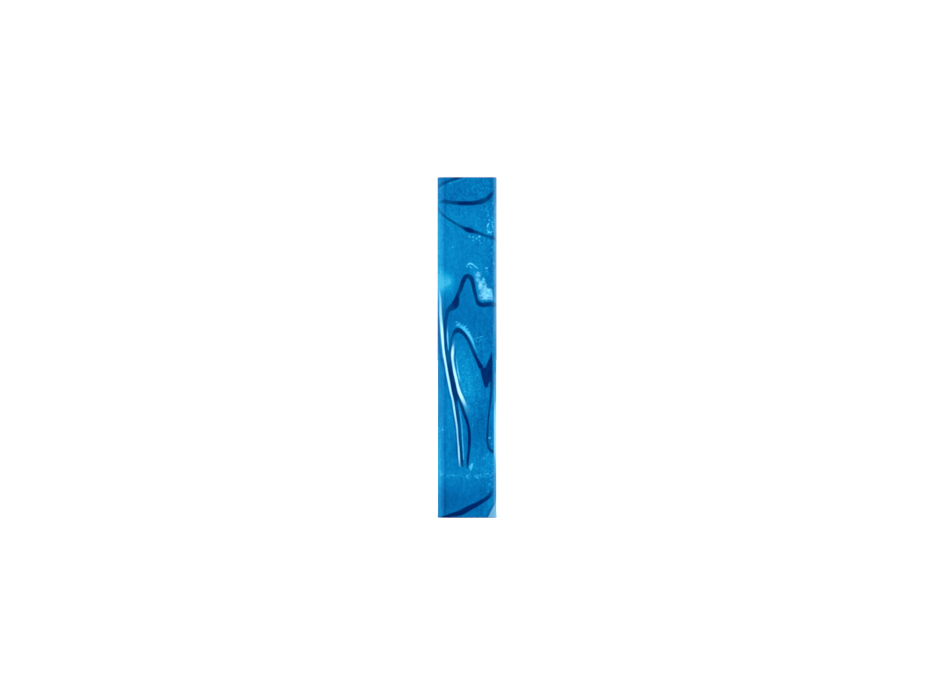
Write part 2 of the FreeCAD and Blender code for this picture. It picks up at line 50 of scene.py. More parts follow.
NAVY_RIBBONS = {
    "navy_dark_band": [
        (-6.98, 61.27, 2.12, 0.48), (-6.87, 59.41, 2.05, 0.54), (-6.61, 57.55, 2.05, 0.72),
        (-6.33, 55.69, 2.01, 0.83), (-6.01, 53.82, 1.98, 0.96), (-5.64, 51.96, 2.05, 0.90),
        (-5.25, 50.10, 2.16, 0.95), (-4.88, 48.23, 2.24, 0.92), (-4.54, 46.37, 2.24, 0.92),
        (-4.30, 44.88, 1.90, 0.90), (-4.21, 43.76, 1.57, 0.87), (-4.15, 42.46, 1.23, 0.77),
        (-3.96, 41.15, 1.23, 0.70), (-3.74, 39.66, 1.23, 0.73), (-3.54, 38.17, 1.19, 0.79),
        (-3.29, 36.31, 1.23, 0.77), (-2.99, 34.07, 1.16, 0.67), (-2.83, 31.84, 1.19, 0.62),
        (-2.75, 29.60, 1.32, 0.64), (-2.49, 27.37, 1.04, 0.72), (-2.32, 25.13, 1.01, 0.80),
        (-2.16, 22.90, 1.04, 0.87), (-2.01, 21.03, 1.12, 0.80), (-1.82, 19.36, 0.89, 0.61),
    ],
    "navy_inner_strand": [
        (-3.85, 46.37, 1.01, 0.80), (-3.26, 44.93, 1.29, 0.78), (-2.82, 43.82, 1.16, 0.80),
        (-2.41, 42.69, 1.14, 0.87), (-1.95, 41.55, 1.14, 0.89), (-1.53, 40.05, 1.19, 0.90),
        (-0.84, 38.18, 1.06, 0.97), (-0.25, 36.67, 1.14, 1.00), (0.30, 34.81, 1.16, 1.04),
        (0.71, 32.58, 1.10, 1.01), (0.84, 30.35, 1.10, 1.05), (0.80, 28.11, 1.10, 1.07),
        (0.75, 25.87, 1.02, 1.03), (0.45, 23.64, 1.02, 0.98), (0.26, 21.40, 0.99, 0.96),
        (0.20, 19.73, 0.88, 0.78), (0.15, 18.68, 0.58, 0.63),
    ],
    "navy_corner_streak": [
        (-11.55, 122.51, 1.04, 0.23), (-9.79, 124.06, 1.04, 0.35), (-9.11, 124.60, 1.16, 0.50),
        (-8.08, 124.99, 1.10, 0.66), (-6.58, 125.68, 1.02, 0.64), (-5.09, 126.20, 1.04, 0.72),
        (-3.23, 126.75, 1.04, 0.82), (-1.37, 127.43, 1.12, 0.72), (0.50, 128.21, 1.04, 0.60),
    ],
    "navy_upper_arc": [
        (-8.93, 118.22, 1.18, 0.48), (-8.57, 118.01, 1.56, 0.58), (-7.68, 117.88, 1.47, 0.67),
        (-6.19, 117.58, 1.34, 0.71), (-4.33, 117.40, 1.43, 0.83), (-2.46, 117.27, 1.55, 1.00),
        (-0.59, 117.27, 1.56, 1.03), (1.28, 117.29, 1.58, 1.01), (3.15, 117.46, 1.62, 0.95),
        (5.03, 117.85, 1.79, 0.81), (6.55, 118.35, 1.73, 0.80), (7.72, 119.16, 1.60, 0.81),
        (8.56, 119.98, 1.38, 0.82), (9.29, 120.88, 1.06, 0.73), (9.79, 121.90, 0.55, 0.50),
    ],
    "navy_long_diagonal": [
        (-12.67, 119.72, 0.56, 0.34), (-11.18, 118.23, 0.60, 0.34), (-9.94, 116.32, 0.35, 0.42),
        (-9.62, 115.03, 0.35, 0.47), (-9.10, 113.77, 0.39, 0.56), (-8.67, 112.79, 0.74, 0.62),
        (-8.05, 112.16, 0.80, 0.65), (-6.93, 111.34, 0.82, 0.68), (-5.82, 110.66, 0.84, 0.70),
        (-4.72, 109.97, 0.84, 0.69), (-3.24, 109.16, 0.89, 0.64), (-1.74, 108.34, 1.04, 0.80),
        (-0.59, 107.77, 1.40, 0.99), (0.36, 107.41, 1.83, 1.09), (1.30, 107.06, 1.75, 1.07),
        (2.42, 106.72, 1.32, 0.96), (3.54, 106.41, 1.16, 0.82), (4.64, 105.98, 1.12, 0.71),
        (5.75, 105.57, 1.01, 0.67), (6.86, 105.20, 0.89, 0.66), (7.99, 104.82, 1.06, 0.63),
        (8.95, 104.58, 1.49, 0.61), (10.02, 104.38, 1.38, 0.54), (11.20, 103.70, 0.85, 0.62),
        (12.80, 102.90, 0.90, 0.66), (14.80, 102.70, 1.00, 0.72), (17.00, 103.70, 1.05, 0.78),
        (19.20, 105.50, 1.00, 0.74), (21.50, 107.80, 0.90, 0.70), (24.50, 110.60, 0.80, 0.60),
    ],
    "navy_star_peak": [
        (26.50, 90.60, 1.00, 0.80), (23.20, 92.40, 1.05, 0.85), (20.60, 93.20, 1.15, 0.90),
        (18.40, 92.20, 1.15, 0.92), (16.90, 89.60, 1.00, 0.90), (15.60, 86.00, 0.95, 0.88),
        (14.20, 82.60, 1.10, 0.90), (12.60, 80.40, 1.30, 0.88), (11.10, 79.60, 1.50, 0.78),
        (9.68, 79.59, 1.68, 0.55), (8.73, 79.59, 1.79, 0.77), (7.61, 79.55, 1.70, 0.89),
        (6.49, 79.40, 1.70, 0.90), (5.33, 79.45, 1.73, 0.92), (4.34, 79.99, 1.60, 0.95),
        (3.66, 81.02, 1.29, 0.93), (3.30, 82.30, 1.23, 0.89), (3.00, 83.62, 1.32, 0.90),
        (2.69, 84.92, 1.30, 0.93), (2.42, 86.24, 1.38, 0.94), (2.15, 87.56, 1.38, 0.95),
        (1.81, 88.80, 1.57, 0.91), (1.09, 89.80, 1.68, 0.85), (0.15, 90.14, 1.64, 0.88),
        (-0.67, 89.71, 1.62, 0.94), (-1.22, 88.77, 1.58, 0.98), (-1.68, 87.58, 1.57, 1.00),
        (-2.11, 86.25, 1.58, 0.93), (-2.61, 84.95, 1.53, 0.82), (-3.24, 83.67, 1.38, 0.86),
        (-3.68, 82.36, 1.60, 0.95), (-3.98, 80.95, 2.09, 1.02), (-4.50, 79.57, 2.80, 0.97),
        (-5.55, 78.53, 2.38, 0.80), (-6.67, 77.78, 1.75, 0.74), (-7.34, 76.55, 1.30, 0.70),
        (-7.63, 74.95, 1.12, 0.66), (-7.97, 73.20, 1.23, 0.60), (-8.23, 70.96, 1.27, 0.58),
        (-8.23, 68.73, 1.16, 0.55), (-8.16, 66.86, 1.16, 0.52), (-8.04, 65.00, 1.12, 0.50),
        (-7.86, 63.14, 1.23, 0.48), (-7.60, 61.27, 1.42, 0.45), (-7.34, 59.78, 1.57, 0.40),
    ],
    "navy_loop": [
        (-6.26, 58.67, 1.27, 0.35), (-6.40, 60.53, 1.08, 0.39), (-6.30, 62.38, 1.01, 0.58),
        (-6.09, 64.62, 1.08, 0.58), (-5.87, 66.47, 0.88, 0.52), (-5.29, 67.91, 0.84, 0.66),
        (-4.78, 69.00, 1.14, 0.82), (-4.11, 69.72, 1.66, 0.86), (-3.20, 69.93, 1.77, 0.86),
        (-2.31, 69.52, 1.51, 0.91), (-1.44, 68.84, 1.29, 0.92), (-0.62, 67.93, 1.25, 0.89),
        (0.11, 66.80, 1.17, 0.86), (0.83, 65.43, 1.06, 0.84), (1.49, 63.86, 1.19, 0.81),
        (2.13, 62.38, 1.25, 0.80), (2.82, 60.91, 1.23, 0.94), (3.50, 59.42, 1.16, 1.01),
        (4.23, 57.92, 1.40, 1.01), (5.03, 56.45, 1.84, 1.00),
    ],
    "navy_right_hook": [
        (9.06, 52.33, 0.89, 0.90), (9.08, 50.84, 0.89, 0.88), (9.08, 49.35, 0.88, 0.85),
        (9.06, 47.86, 0.86, 0.83), (8.99, 46.56, 0.82, 0.81), (8.77, 44.51, 0.82, 0.79),
        (8.54, 42.28, 0.69, 0.80), (8.26, 40.05, 0.60, 0.84), (8.03, 37.82, 0.60, 0.90),
        (7.83, 35.96, 0.56, 0.88), (7.65, 33.71, 0.73, 0.80), (7.55, 31.47, 0.89, 0.81),
        (7.58, 29.61, 0.78, 0.84), (7.65, 27.92, 0.69, 0.82), (7.95, 26.50, 0.76, 0.85),
        (8.64, 25.34, 1.02, 0.84), (9.59, 24.80, 1.06, 0.79), (10.76, 24.83, 0.89, 0.60),
    ],
    "navy_bottom_sweep": [
        (-10.43, 0.04, 0.89, 0.77), (-9.40, 0.17, 1.02, 0.94), (-8.05, 0.40, 1.12, 1.09),
        (-6.19, 0.98, 1.32, 1.15), (-4.32, 1.37, 1.70, 1.14), (-2.45, 1.91, 2.06, 1.12),
        (-0.61, 2.82, 2.06, 1.17), (1.22, 3.85, 1.90, 1.16), (3.11, 4.76, 1.70, 1.11),
        (5.00, 5.82, 1.53, 1.02), (6.51, 6.74, 1.43, 0.93), (7.82, 7.70, 1.45, 0.91),
        (8.65, 8.80, 1.34, 0.69), (9.15, 9.91, 1.01, 0.28),
    ],
    "navy_back_curl": [
        (13.10, 27.50, 0.50, 0.30), (14.00, 31.50, 0.80, 0.80), (14.60, 36.50, 1.00, 0.95),
        (15.20, 42.50, 1.05, 1.00), (16.20, 48.50, 1.10, 1.00), (17.90, 54.00, 1.25, 0.98),
        (20.30, 58.40, 1.40, 0.95), (23.20, 61.40, 1.40, 0.90), (26.50, 63.20, 1.30, 0.90),
    ],
    "navy_back_hook": [
        (12.40, 110.60, 0.45, 0.30), (13.30, 113.40, 0.75, 0.75), (14.80, 116.20, 0.95, 0.92),
        (16.70, 117.90, 1.05, 0.95), (18.70, 118.00, 1.05, 0.92), (20.60, 116.60, 0.95, 0.90),
        (22.60, 114.20, 0.85, 0.80),
    ],
}
LIGHT_RIBBONS = {
    "white_left_ribbon": [
        (-12.30, 94.38, 0.60, 0.28), (-11.03, 91.03, 0.75, 0.37), (-9.96, 87.26, 0.35, 0.44),
        (-9.64, 84.49, 0.39, 0.52), (-9.49, 82.18, 0.47, 0.60), (-9.43, 79.54, 0.51, 0.68),
        (-9.39, 76.53, 0.56, 0.74), (-9.29, 73.88, 0.57, 0.78), (-9.15, 71.20, 0.57, 0.98),
        (-9.04, 68.54, 0.55, 1.10), (-8.92, 65.86, 0.52, 1.12), (-8.74, 63.16, 0.51, 1.12),
        (-8.43, 60.15, 0.76, 0.99), (-7.89, 56.80, 0.75, 0.94), (-7.33, 53.45, 0.78, 0.95),
        (-6.70, 50.09, 0.78, 0.93), (-6.05, 46.74, 0.69, 0.90), (-5.31, 43.77, 0.67, 0.86),
        (-4.80, 40.42, 0.67, 0.87), (-4.28, 37.06, 0.61, 0.85), (-3.80, 33.71, 0.54, 0.77),
        (-3.55, 30.35, 0.45, 0.76), (-3.24, 27.00, 0.54, 0.79), (-3.03, 23.64, 0.63, 0.80),
        (-2.86, 21.03, 0.58, 0.62), (-2.63, 19.17, 0.37, 0.41),
    ],
    "white_inner_crescent": [
        (-4.87, 66.30, 0.45, 0.05), (-5.04, 64.99, 0.76, 0.32), (-5.29, 63.13, 0.89, 0.79),
        (-5.44, 61.27, 0.95, 1.07), (-5.44, 59.41, 0.79, 1.06), (-5.21, 57.56, 0.77, 0.94),
        (-4.91, 55.70, 0.86, 0.94), (-4.56, 53.84, 0.94, 1.00), (-4.11, 51.98, 0.96, 1.01),
        (-3.70, 50.11, 0.93, 1.01), (-3.26, 48.24, 0.98, 1.12), (-2.67, 46.37, 1.13, 1.09),
        (-1.98, 44.89, 1.23, 0.97), (-1.31, 43.40, 1.27, 0.73), (-0.64, 41.90, 1.37, 0.44),
        (0.01, 40.38, 1.40, 0.23), (0.65, 38.87, 1.09, 0.06),
    ],
    "pale_loop_edge": [
        (-4.02, 71.69, 0.72, 0.14), (-3.00, 71.64, 1.01, 0.34), (-1.89, 71.12, 1.16, 0.51),
        (-0.91, 70.27, 1.20, 0.62), (-0.06, 69.23, 1.04, 0.74), (0.74, 68.12, 0.84, 0.90),
        (1.50, 66.87, 0.84, 0.70), (2.12, 65.51, 0.76, 0.66), (2.64, 64.09, 0.61, 0.49),
        (3.24, 62.74, 0.52, 0.31), (3.96, 61.55, 0.48, 0.07),
    ],
    "pale_thread_left": [
        (-7.25, 72.08, 0.26, 0.05), (-7.34, 70.22, 0.39, 0.37), (-7.30, 68.35, 0.47, 0.88),
        (-7.24, 66.49, 0.45, 1.01), (-7.09, 64.63, 0.41, 0.83), (-6.92, 62.39, 0.34, 0.28),
    ],
    "pale_thread_middle": [
        (-3.12, 42.85, 0.34, 0.05), (-2.84, 40.80, 0.37, 0.21), (-2.55, 38.55, 0.45, 0.35),
        (-2.23, 36.30, 0.43, 0.42), (-1.96, 34.07, 0.39, 0.46), (-1.81, 31.83, 0.35, 0.51),
        (-1.73, 29.60, 0.35, 0.54), (-1.56, 26.99, 0.39, 0.50), (-1.41, 24.38, 0.39, 0.46),
        (-1.32, 21.77, 0.37, 0.50),
    ],
    "pale_thread_loop": [
        (-4.15, 60.35, 0.37, 0.28), (-3.85, 57.92, 0.43, 0.51), (-3.56, 55.67, 0.45, 0.72),
        (-3.20, 53.43, 0.50, 0.77), (-2.67, 51.20, 0.45, 0.46), (-2.14, 48.96, 0.26, 0.12),
    ],
    "white_right_strip": [
        (10.90, 61.65, 0.50, 0.06), (11.05, 57.92, 0.70, 0.08), (11.00, 53.08, 1.10, 0.16),
        (10.95, 49.35, 1.50, 0.26), (10.98, 44.88, 1.90, 0.35), (11.25, 42.27, 2.20, 0.56),
        (11.40, 37.80, 2.60, 0.71), (11.48, 32.58, 2.70, 0.78), (11.45, 28.11, 2.60, 0.78),
        (11.27, 24.01, 2.20, 0.69), (11.25, 20.29, 1.50, 0.42), (11.33, 17.31, 0.80, 0.19),
    ],
    "white_back_ribbon": [
        (13.20, 60.50, 0.40, 0.20), (14.00, 65.00, 0.60, 0.60), (15.00, 69.20, 0.75, 0.80),
        (16.50, 73.00, 0.85, 0.90), (18.30, 75.80, 0.85, 0.90), (20.50, 77.90, 0.80, 0.85),
        (23.50, 79.60, 0.70, 0.80),
    ],
}
NAVY_POOLS = {
    "navy_v_pool": [
        (4.37, 57.92), (5.22, 56.84), (6.12, 56.06), (6.86, 56.28), (7.42, 57.40), (7.91, 58.59),
        (8.43, 59.71), (8.88, 60.98), (9.10, 62.02), (9.36, 61.05), (9.45, 58.67), (9.45, 54.94),
        (9.45, 51.77), (9.32, 50.47), (8.80, 50.62), (8.35, 50.51), (7.98, 49.76), (7.65, 48.90),
        (7.09, 48.57), (6.45, 49.02), (6.08, 50.32), (5.67, 51.96), (5.26, 53.64), (4.93, 55.13),
        (4.63, 56.43),
    ],
}
LIGHT_POOLS = {
    "pale_cloud": [
        (3.06, 91.45), (3.70, 92.05), (4.81, 91.64), (5.82, 90.52), (6.71, 89.00), (7.39, 87.36),
        (8.28, 86.09), (9.21, 85.12), (9.83, 83.65), (9.91, 82.09), (8.91, 81.17), (7.05, 81.06),
        (5.60, 81.39), (4.74, 82.88), (4.33, 84.75), (4.03, 86.61), (3.62, 88.29), (3.06, 89.78),
    ],
    "pale_corner_wedge": [
        (15.60, 7.00), (13.60, 9.60), (11.40, 7.60), (10.60, 5.60), (9.83, 4.13), (9.10, 2.81),
        (8.43, 1.51), (7.83, 0.17), (7.40, -2.00), (11.50, -3.00), (15.50, -2.00), (17.20, 2.00),
    ],
    "pale_foot": [
        (0.75, 19.69), (1.35, 20.14), (2.02, 19.99), (2.32, 19.17), (2.09, 18.20), (1.35, 17.83),
        (0.86, 18.57),
    ],
}

# How wide each pour's edge bleeds into the blue, in millimetres, and how
# strongly the pools are pigmented.  The ribbons carry their strength as the
# fourth number of each row.
BLEED = {
    "navy_dark_band": 0.18, "navy_inner_strand": 0.20, "navy_corner_streak": 0.32, "navy_upper_arc": 0.34,
    "navy_long_diagonal": 0.26, "navy_star_peak": 0.30, "navy_loop": 0.26, "navy_right_hook": 0.24,
    "navy_bottom_sweep": 0.40, "navy_back_curl": 0.30, "navy_back_hook": 0.30,
    "white_left_ribbon": 0.18, "white_inner_crescent": 0.24, "white_right_strip": 0.34, "white_back_ribbon": 0.26,
    "pale_loop_edge": 0.34, "pale_thread_left": 0.16, "pale_thread_middle": 0.16, "pale_thread_loop": 0.18,
}
POOLS = {"navy_v_pool": (0.32, 0.97), "pale_cloud": (0.85, 0.50), "pale_corner_wedge": (0.40, 0.74), "pale_foot": (0.60, 0.16)}

# Fine marks with no body of their own: (u, w, thickness), bleed, strength.
FINE_MARKS = [
    ([(0.38, 94.44, 0.42), (1.12, 94.81, 0.42), (1.87, 94.58, 0.42), (2.54, 94.06, 0.42)], 0.26, 0.75),
    ([(2.99, 93.76, 0.50), (3.43, 93.39, 0.50), (3.96, 92.95, 0.50)], 0.32, 0.55),
    ([(1.05, 93.84, 0.42), (1.50, 93.47, 0.42), (1.87, 93.02, 0.42)], 0.26, 0.55),
    ([(-0.37, 93.99, 0.50), (0.01, 93.54, 0.50)], 0.30, 0.40),
    ([(6.86, 93.02, 0.50), (7.39, 93.09, 0.50)], 0.28, 0.50),
    ([(7.31, 91.98, 0.40), (7.68, 92.13, 0.40)], 0.26, 0.32),
    ([(-6.55, 124.65, 0.42), (-5.44, 124.99, 0.42), (-3.95, 125.47, 0.42), (-2.45, 125.99, 0.42), (-1.15, 126.44, 0.42)], 0.46, 0.24),
    ([(-9.35, 123.05, 0.40), (-8.60, 123.50, 0.40)], 0.40, 0.22),
    ([(2.95, 66.79, 0.30), (4.52, 67.35, 0.30), (6.12, 67.76, 0.30)], 0.20, 0.34),
    ([(3.14, 65.89, 0.30), (4.25, 65.48, 0.30), (5.41, 66.45, 0.30)], 0.20, 0.28),
    ([(6.86, 66.49, 0.30), (7.61, 67.20, 0.30)], 0.20, 0.25),
    ([(-4.09, 72.90, 0.36), (-3.72, 73.05, 0.36), (-3.35, 73.12, 0.36)], 0.30, 0.41),
    ([(-3.72, 71.86, 0.36), (-3.16, 72.19, 0.36), (-2.60, 72.45, 0.36)], 0.30, 0.67),
    ([(-2.68, 71.33, 0.36), (-2.08, 71.74, 0.36), (-1.49, 72.08, 0.36)], 0.30, 0.43),
    ([(-1.49, 70.74, 0.36), (-1.00, 71.15, 0.36), (-0.52, 71.48, 0.36)], 0.30, 0.70),
    ([(-0.63, 69.73, 0.36), (-0.16, 70.12, 0.36), (0.30, 70.44, 0.36)], 0.30, 0.32),
    ([(0.08, 68.65, 0.36), (0.49, 69.02, 0.36), (0.90, 69.32, 0.36)], 0.30, 0.58),
    ([(0.75, 67.46, 0.36), (1.14, 67.79, 0.36), (1.53, 68.06, 0.36)], 0.30, 0.26),
    ([(1.38, 65.97, 0.36), (1.76, 66.30, 0.36), (2.13, 66.56, 0.36)], 0.30, 0.38),
    ([(2.17, 64.40, 0.36), (2.47, 64.70, 0.36), (2.76, 64.93, 0.36)], 0.30, 0.20),
    ([(9.92, 72.82, 0.38), (9.99, 67.98, 0.38), (9.70, 64.25, 0.38), (9.51, 61.83, 0.38)], 0.34, 0.20),
    ([(7.83, 9.67, 0.50), (8.88, 11.72, 0.50), (9.77, 13.95, 0.50), (10.29, 16.56, 0.50)], 0.60, 0.12),
    ([(8.54, 15.59, 0.34), (9.32, 16.19, 0.34), (10.29, 17.46, 0.34)], 0.24, 0.40),
    ([(-7.37, 15.71, 0.36), (-5.81, 15.82, 0.36), (-4.09, 15.59, 0.36)], 0.30, 0.29),
    ([(1.87, 20.06, 0.62), (1.61, 19.06, 0.72), (1.24, 18.13, 0.60)], 0.26, 0.62),
]
# The ragged patches that make up the cloud: (u, w, spread u, spread w, strength).
CLOUD_SPOTS = [
    (4.18, 90.60, 0.63, 0.89, 0.75), (3.29, 89.67, 0.37, 0.67, 0.45), (3.81, 88.55, 0.60, 0.45, 0.55),
    (5.37, 87.21, 0.52, 0.89, 0.95), (6.19, 87.95, 0.56, 0.52, 0.60), (4.74, 86.42, 0.48, 0.52, 0.70),
    (6.57, 85.72, 0.60, 0.60, 0.75), (7.24, 86.76, 0.37, 0.45, 0.40), (4.85, 84.56, 0.67, 1.19, 0.42),
    (6.42, 83.82, 0.89, 1.04, 0.80), (8.32, 84.49, 0.75, 0.71, 0.98), (8.58, 83.41, 0.71, 0.56, 0.90),
    (7.24, 82.74, 0.89, 0.75, 0.85), (5.75, 81.99, 0.75, 0.63, 0.80), (9.17, 81.99, 0.60, 0.60, 0.70),
    (4.40, 82.14, 0.48, 0.82, 0.30), (9.84, 81.36, 0.41, 0.41, 0.42), (2.76, 91.31, 0.52, 0.45, 0.25),
    (4.37, 87.73, 0.41, 0.52, 0.50), (7.68, 81.58, 0.48, 0.37, 0.50),
]
# Thin dark lines: beside the cloud and beside the corner wedge.
DARK_MARKS = [
    ([(9.43, 85.79, 0.42), (9.58, 84.56, 0.42), (9.92, 83.07, 0.42)], 0.26, 0.38),
    ([(7.57, 89.22, 0.36), (7.61, 87.73, 0.36), (7.72, 86.24, 0.36)], 0.26, 0.34),
    ([(10.44, 5.83, 0.36), (9.62, 4.42, 0.36), (8.80, 3.00, 0.36), (8.13, 1.73, 0.36), (7.53, 0.32, 0.36)], 0.24, 0.55),
]
# The faint line of pigment and tiny bubbles low down on the bar.
WISP = [(-7.3, 15.55, 0.35), (-5.1, 15.63, 0.4), (-2.5, 15.48, 0.4), (0.0, 15.70, 0.55), (1.2, 16.05, 0.5),
        (3.1, 15.45, 0.5), (4.6, 15.70, 0.6), (6.5, 16.15, 0.5), (8.4, 16.70, 0.5), (9.9, 17.55, 0.5), (12.0, 18.6, 0.5)]
# Pale flecks: (u, w, radius, strength).
FLECKS = [
    (0.90, 104.9, 0.26, 0.55), (2.20, 104.7, 0.28, 0.60), (4.63, 104.9, 0.30, 0.95), (4.63, 103.4, 0.24, 0.55),
    (-5.43, 101.0, 0.26, 0.65), (7.05, 93.10, 0.32, 0.55), (7.25, 92.0, 0.24, 0.40), (8.35, 29.80, 0.40, 0.60),
    (9.10, 27.40, 0.28, 0.40), (-9.35, 16.9, 0.30, 0.35), (5.75, 22.3, 0.28, 0.35), (7.42, 23.3, 0.28, 0.35),
    (-9.90, 33.9, 0.26, 0.60), (-9.00, 33.0, 0.26, 0.50), (-9.55, 32.7, 0.22, 0.40), (-9.10, 34.1, 0.2, 0.4),
    (1.10, 19.1, 0.42, 0.60), (5.60, 87.9, 0.50, 0.75), (6.10, 88.9, 0.45, 0.65), (8.60, 83.6, 0.60, 0.85),
    (9.10, 84.6, 0.45, 0.60), (7.40, 84.0, 0.45, 0.40), (4.35, 90.6, 0.40, 0.30), (4.0, 89.2, 0.35, 0.25),
    (-1.00, 47.1, 0.30, 0.45), (-0.20, 46.9, 0.25, 0.35), (-2.2, 61.0, 0.25, 0.30), (-0.4, 58.0, 0.22, 0.28),
    (1.0, 52.5, 0.25, 0.30), (-1.6, 50.0, 0.22, 0.25), (2.4, 48.2, 0.22, 0.25), (7.9, 112.9, 0.25, 0.45),
    (9.6, 117.3, 0.28, 0.45), (8.2, 103.0, 0.22, 0.35), (5.9, 99.2, 0.2, 0.3), (3.3, 97.6, 0.2, 0.3),
    (8.35, 111.02, 0.30, 0.55), (9.40, 110.16, 0.30, 0.60), (9.84, 107.85, 0.28, 0.50),
    (7.83, 106.43, 0.26, 0.50), (9.02, 105.76, 0.26, 0.45), (0.97, 104.72, 0.30, 0.50),
    (2.24, 103.45, 0.26, 0.45), (3.51, 104.05, 0.30, 0.50), (4.55, 104.87, 0.34, 0.90),
    (5.22, 102.48, 0.24, 0.40), (9.47, 101.14, 0.24, 0.40), (8.88, 98.72, 0.26, 0.45),
    (9.92, 94.81, 0.36, 0.50), (3.73, 15.15, 0.30, 0.60), (5.00, 15.97, 0.28, 0.55), (-0.22, 15.37, 0.30, 0.40),
    (0.75, 16.19, 0.26, 0.45), (0.23, 14.92, 0.26, 0.50), (6.71, 15.59, 0.24, 0.35), (7.83, 16.49, 0.24, 0.35),
    (9.10, 14.18, 0.30, 0.35), (8.43, 12.46, 0.30, 0.30), (9.70, 11.72, 0.28, 0.30), (-9.46, 17.53, 0.32, 0.40),
    (-9.16, 16.41, 0.30, 0.45), (2.09, 34.63, 0.20, 0.30), (5.56, 41.45, 0.20, 0.30), (3.58, 42.87, 0.20, 0.30),
    (6.49, 22.15, 0.26, 0.35), (4.25, 20.85, 0.24, 0.30), (7.98, 20.29, 0.26, 0.35), (3.14, 18.43, 0.24, 0.30),
]
# A little ring of bubbles near the right edge.
RING = (8.60, 108.15, 1.05, 1.75, 0.34, 0.80)   # u, w, half width, half height, line, strength

# Slow changes of the blue itself: (u, w, spread u, spread w, amount).
TONES = [
    (-5.5, 101.0, 7.0, 12.0, 0.10), (4.0, 108.5, 7.0, 5.0, 0.04), (-2.0, 126.0, 14.0, 5.0, -0.10),
    (-1.0, 118.5, 8.0, 3.0, -0.10), (5.5, 99.0, 6.0, 9.0, -0.03), (1.5, 93.0, 3.0, 4.0, -0.05),
    (-7.4, 87.9, 1.6, 2.2, 0.50), (-9.6, 86.5, 1.3, 5.0, 0.32), (0.0, 70.0, 14.0, 11.0, -0.14), (-1.5, 106.0, 4.0, 4.0, -0.08), (4.5, 32.0, 3.0, 4.0, -0.05),
    (-0.9, 56.5, 3.6, 8.5, 0.20), (0.8, 46.5, 3.0, 4.0, 0.16), (-8.0, 43.0, 3.0, 13.0, 0.06),
    (5.2, 35.0, 4.6, 12.0, -0.14), (-3.6, 24.5, 2.4, 5.0, -0.12), (5.5, 21.0, 5.5, 4.0, 0.10),
    (-6.5, 17.5, 3.5, 3.5, 0.06), (-2.0, 6.8, 6.5, 3.6, -0.16), (-8.0, 7.0, 3.5, 5.0, -0.10),
    (7.2, 9.6, 3.6, 2.5, -0.12), (5.0, 2.4, 3.0, 2.6, -0.08), (7.5, 75.0, 4.0, 4.0, -0.03),
    (-1.5, 79.0, 5.0, 6.0, -0.04), (3.3, 85.0, 1.0, 5.0, 0.14), (3.0, 92.6, 1.8, 1.6, 0.10),
    (9.3, 35.5, 0.8, 5.0, 0.14), (9.3, 21.5, 1.2, 2.5, 0.16), (8.8, 6.3, 1.0, 1.8, 0.20), (9.2, 110.0, 1.0, 3.5, 0.10),
    (15.5, 76.0, 5.0, 12.0, 0.08), (16.0, 24.0, 4.5, 10.0, -0.08), (15.0, 112.0, 5.0, 8.0, -0.06), (17.0, 50.0, 4.0, 9.0, 0.07),
]

# ---- pattern fields on a fine grid in the front plane ----------------------
STEP = 0.1
U0, U1, W0, W1 = -30.0, 22.0, -12.0, 144.0
GU = np.arange(U0, U1 + STEP / 2, STEP, dtype=np.float32)
GW = np.arange(W0, W1 + STEP / 2, STEP, dtype=np.float32)
FAR = 9.0


def smooth(rows, closed=False, steps=6):
    """Catmull-Rom curve through the rows, all columns together."""
    r = np.array(rows, float)
    n = len(r)
    out = []
    for i in range(n if closed else n - 1):
        if closed:
            p = [r[i - 1], r[i], r[(i + 1) % n], r[(i + 2) % n]]
        else:
            p = [r[max(i - 1, 0)], r[i], r[i + 1], r[min(i + 2, n - 1)]]
        for k in range(steps):
            t = k / steps
            out.append(0.5 * (2 * p[1] + (p[2] - p[0]) * t + (2 * p[0] - 5 * p[1] + 4 * p[2] - p[3]) * t * t
                              + (3 * p[1] - p[0] - 3 * p[2] + p[3]) * t ** 3))
    if not closed:
        out.append(r[-1])
    return np.array(out)


def span(lo, hi, start, count):
    return max(int((lo - start) / STEP), 0), min(int((hi - start) / STEP) + 2, count)


def segments_field(line, reach=4.0):
    """Distance outside the ribbon (negative inside), and its strength at the nearest place."""
    best = np.full((len(GU), len(GW)), FAR, np.float32)
    level = np.zeros_like(best)
    for (ax, ay, at, al), (bx, by, bt, bl) in zip(line[:-1], line[1:]):
        r = reach + max(at, bt) / 2
        i0, i1 = span(min(ax, bx) - r, max(ax, bx) + r, U0, len(GU))
        j0, j1 = span(min(ay, by) - r, max(ay, by) + r, W0, len(GW))
        if i1 > i0 and j1 > j0:
            du, dw = GU[i0:i1, None] - ax, GW[None, j0:j1] - ay
            dx, dy = bx - ax, by - ay
            t = np.clip((du * dx + dw * dy) / max(dx * dx + dy * dy, 1e-9), 0, 1)
            d = np.hypot(du - t * dx, dw - t * dy) - 0.5 * (at + t * (bt - at))
            part = best[i0:i1, j0:j1]
            near = d < part
            part[near] = d[near]
            level[i0:i1, j0:j1][near] = (al + t * (bl - al))[near]
    return best, level


def pool_field(rows):
    line = smooth(rows, closed=True)
    ring = np.vstack([line, line[:1]])
    edge, _ = segments_field(np.column_stack([ring, np.zeros(len(ring)), np.ones(len(ring))]))
    i0, i1 = span(line[:, 0].min() - 1, line[:, 0].max() + 1, U0, len(GU))
    j0, j1 = span(line[:, 1].min() - 1, line[:, 1].max() + 1, W0, len(GW))
    inside = np.zeros((i1 - i0, j1 - j0), bool)
    for (ax, ay), (bx, by) in zip(ring[:-1], ring[1:]):
        if ay == by:
            continue
        w = GW[None, j0:j1]
        crosses = (w > min(ay, by)) & (w <= max(ay, by))
        at = ax + (w - ay) * (bx - ax) / (by - ay)
        inside ^= crosses & (GU[i0:i1, None] < at)
    part = edge[i0:i1, j0:j1]
    part[inside] *= -1
    return edge


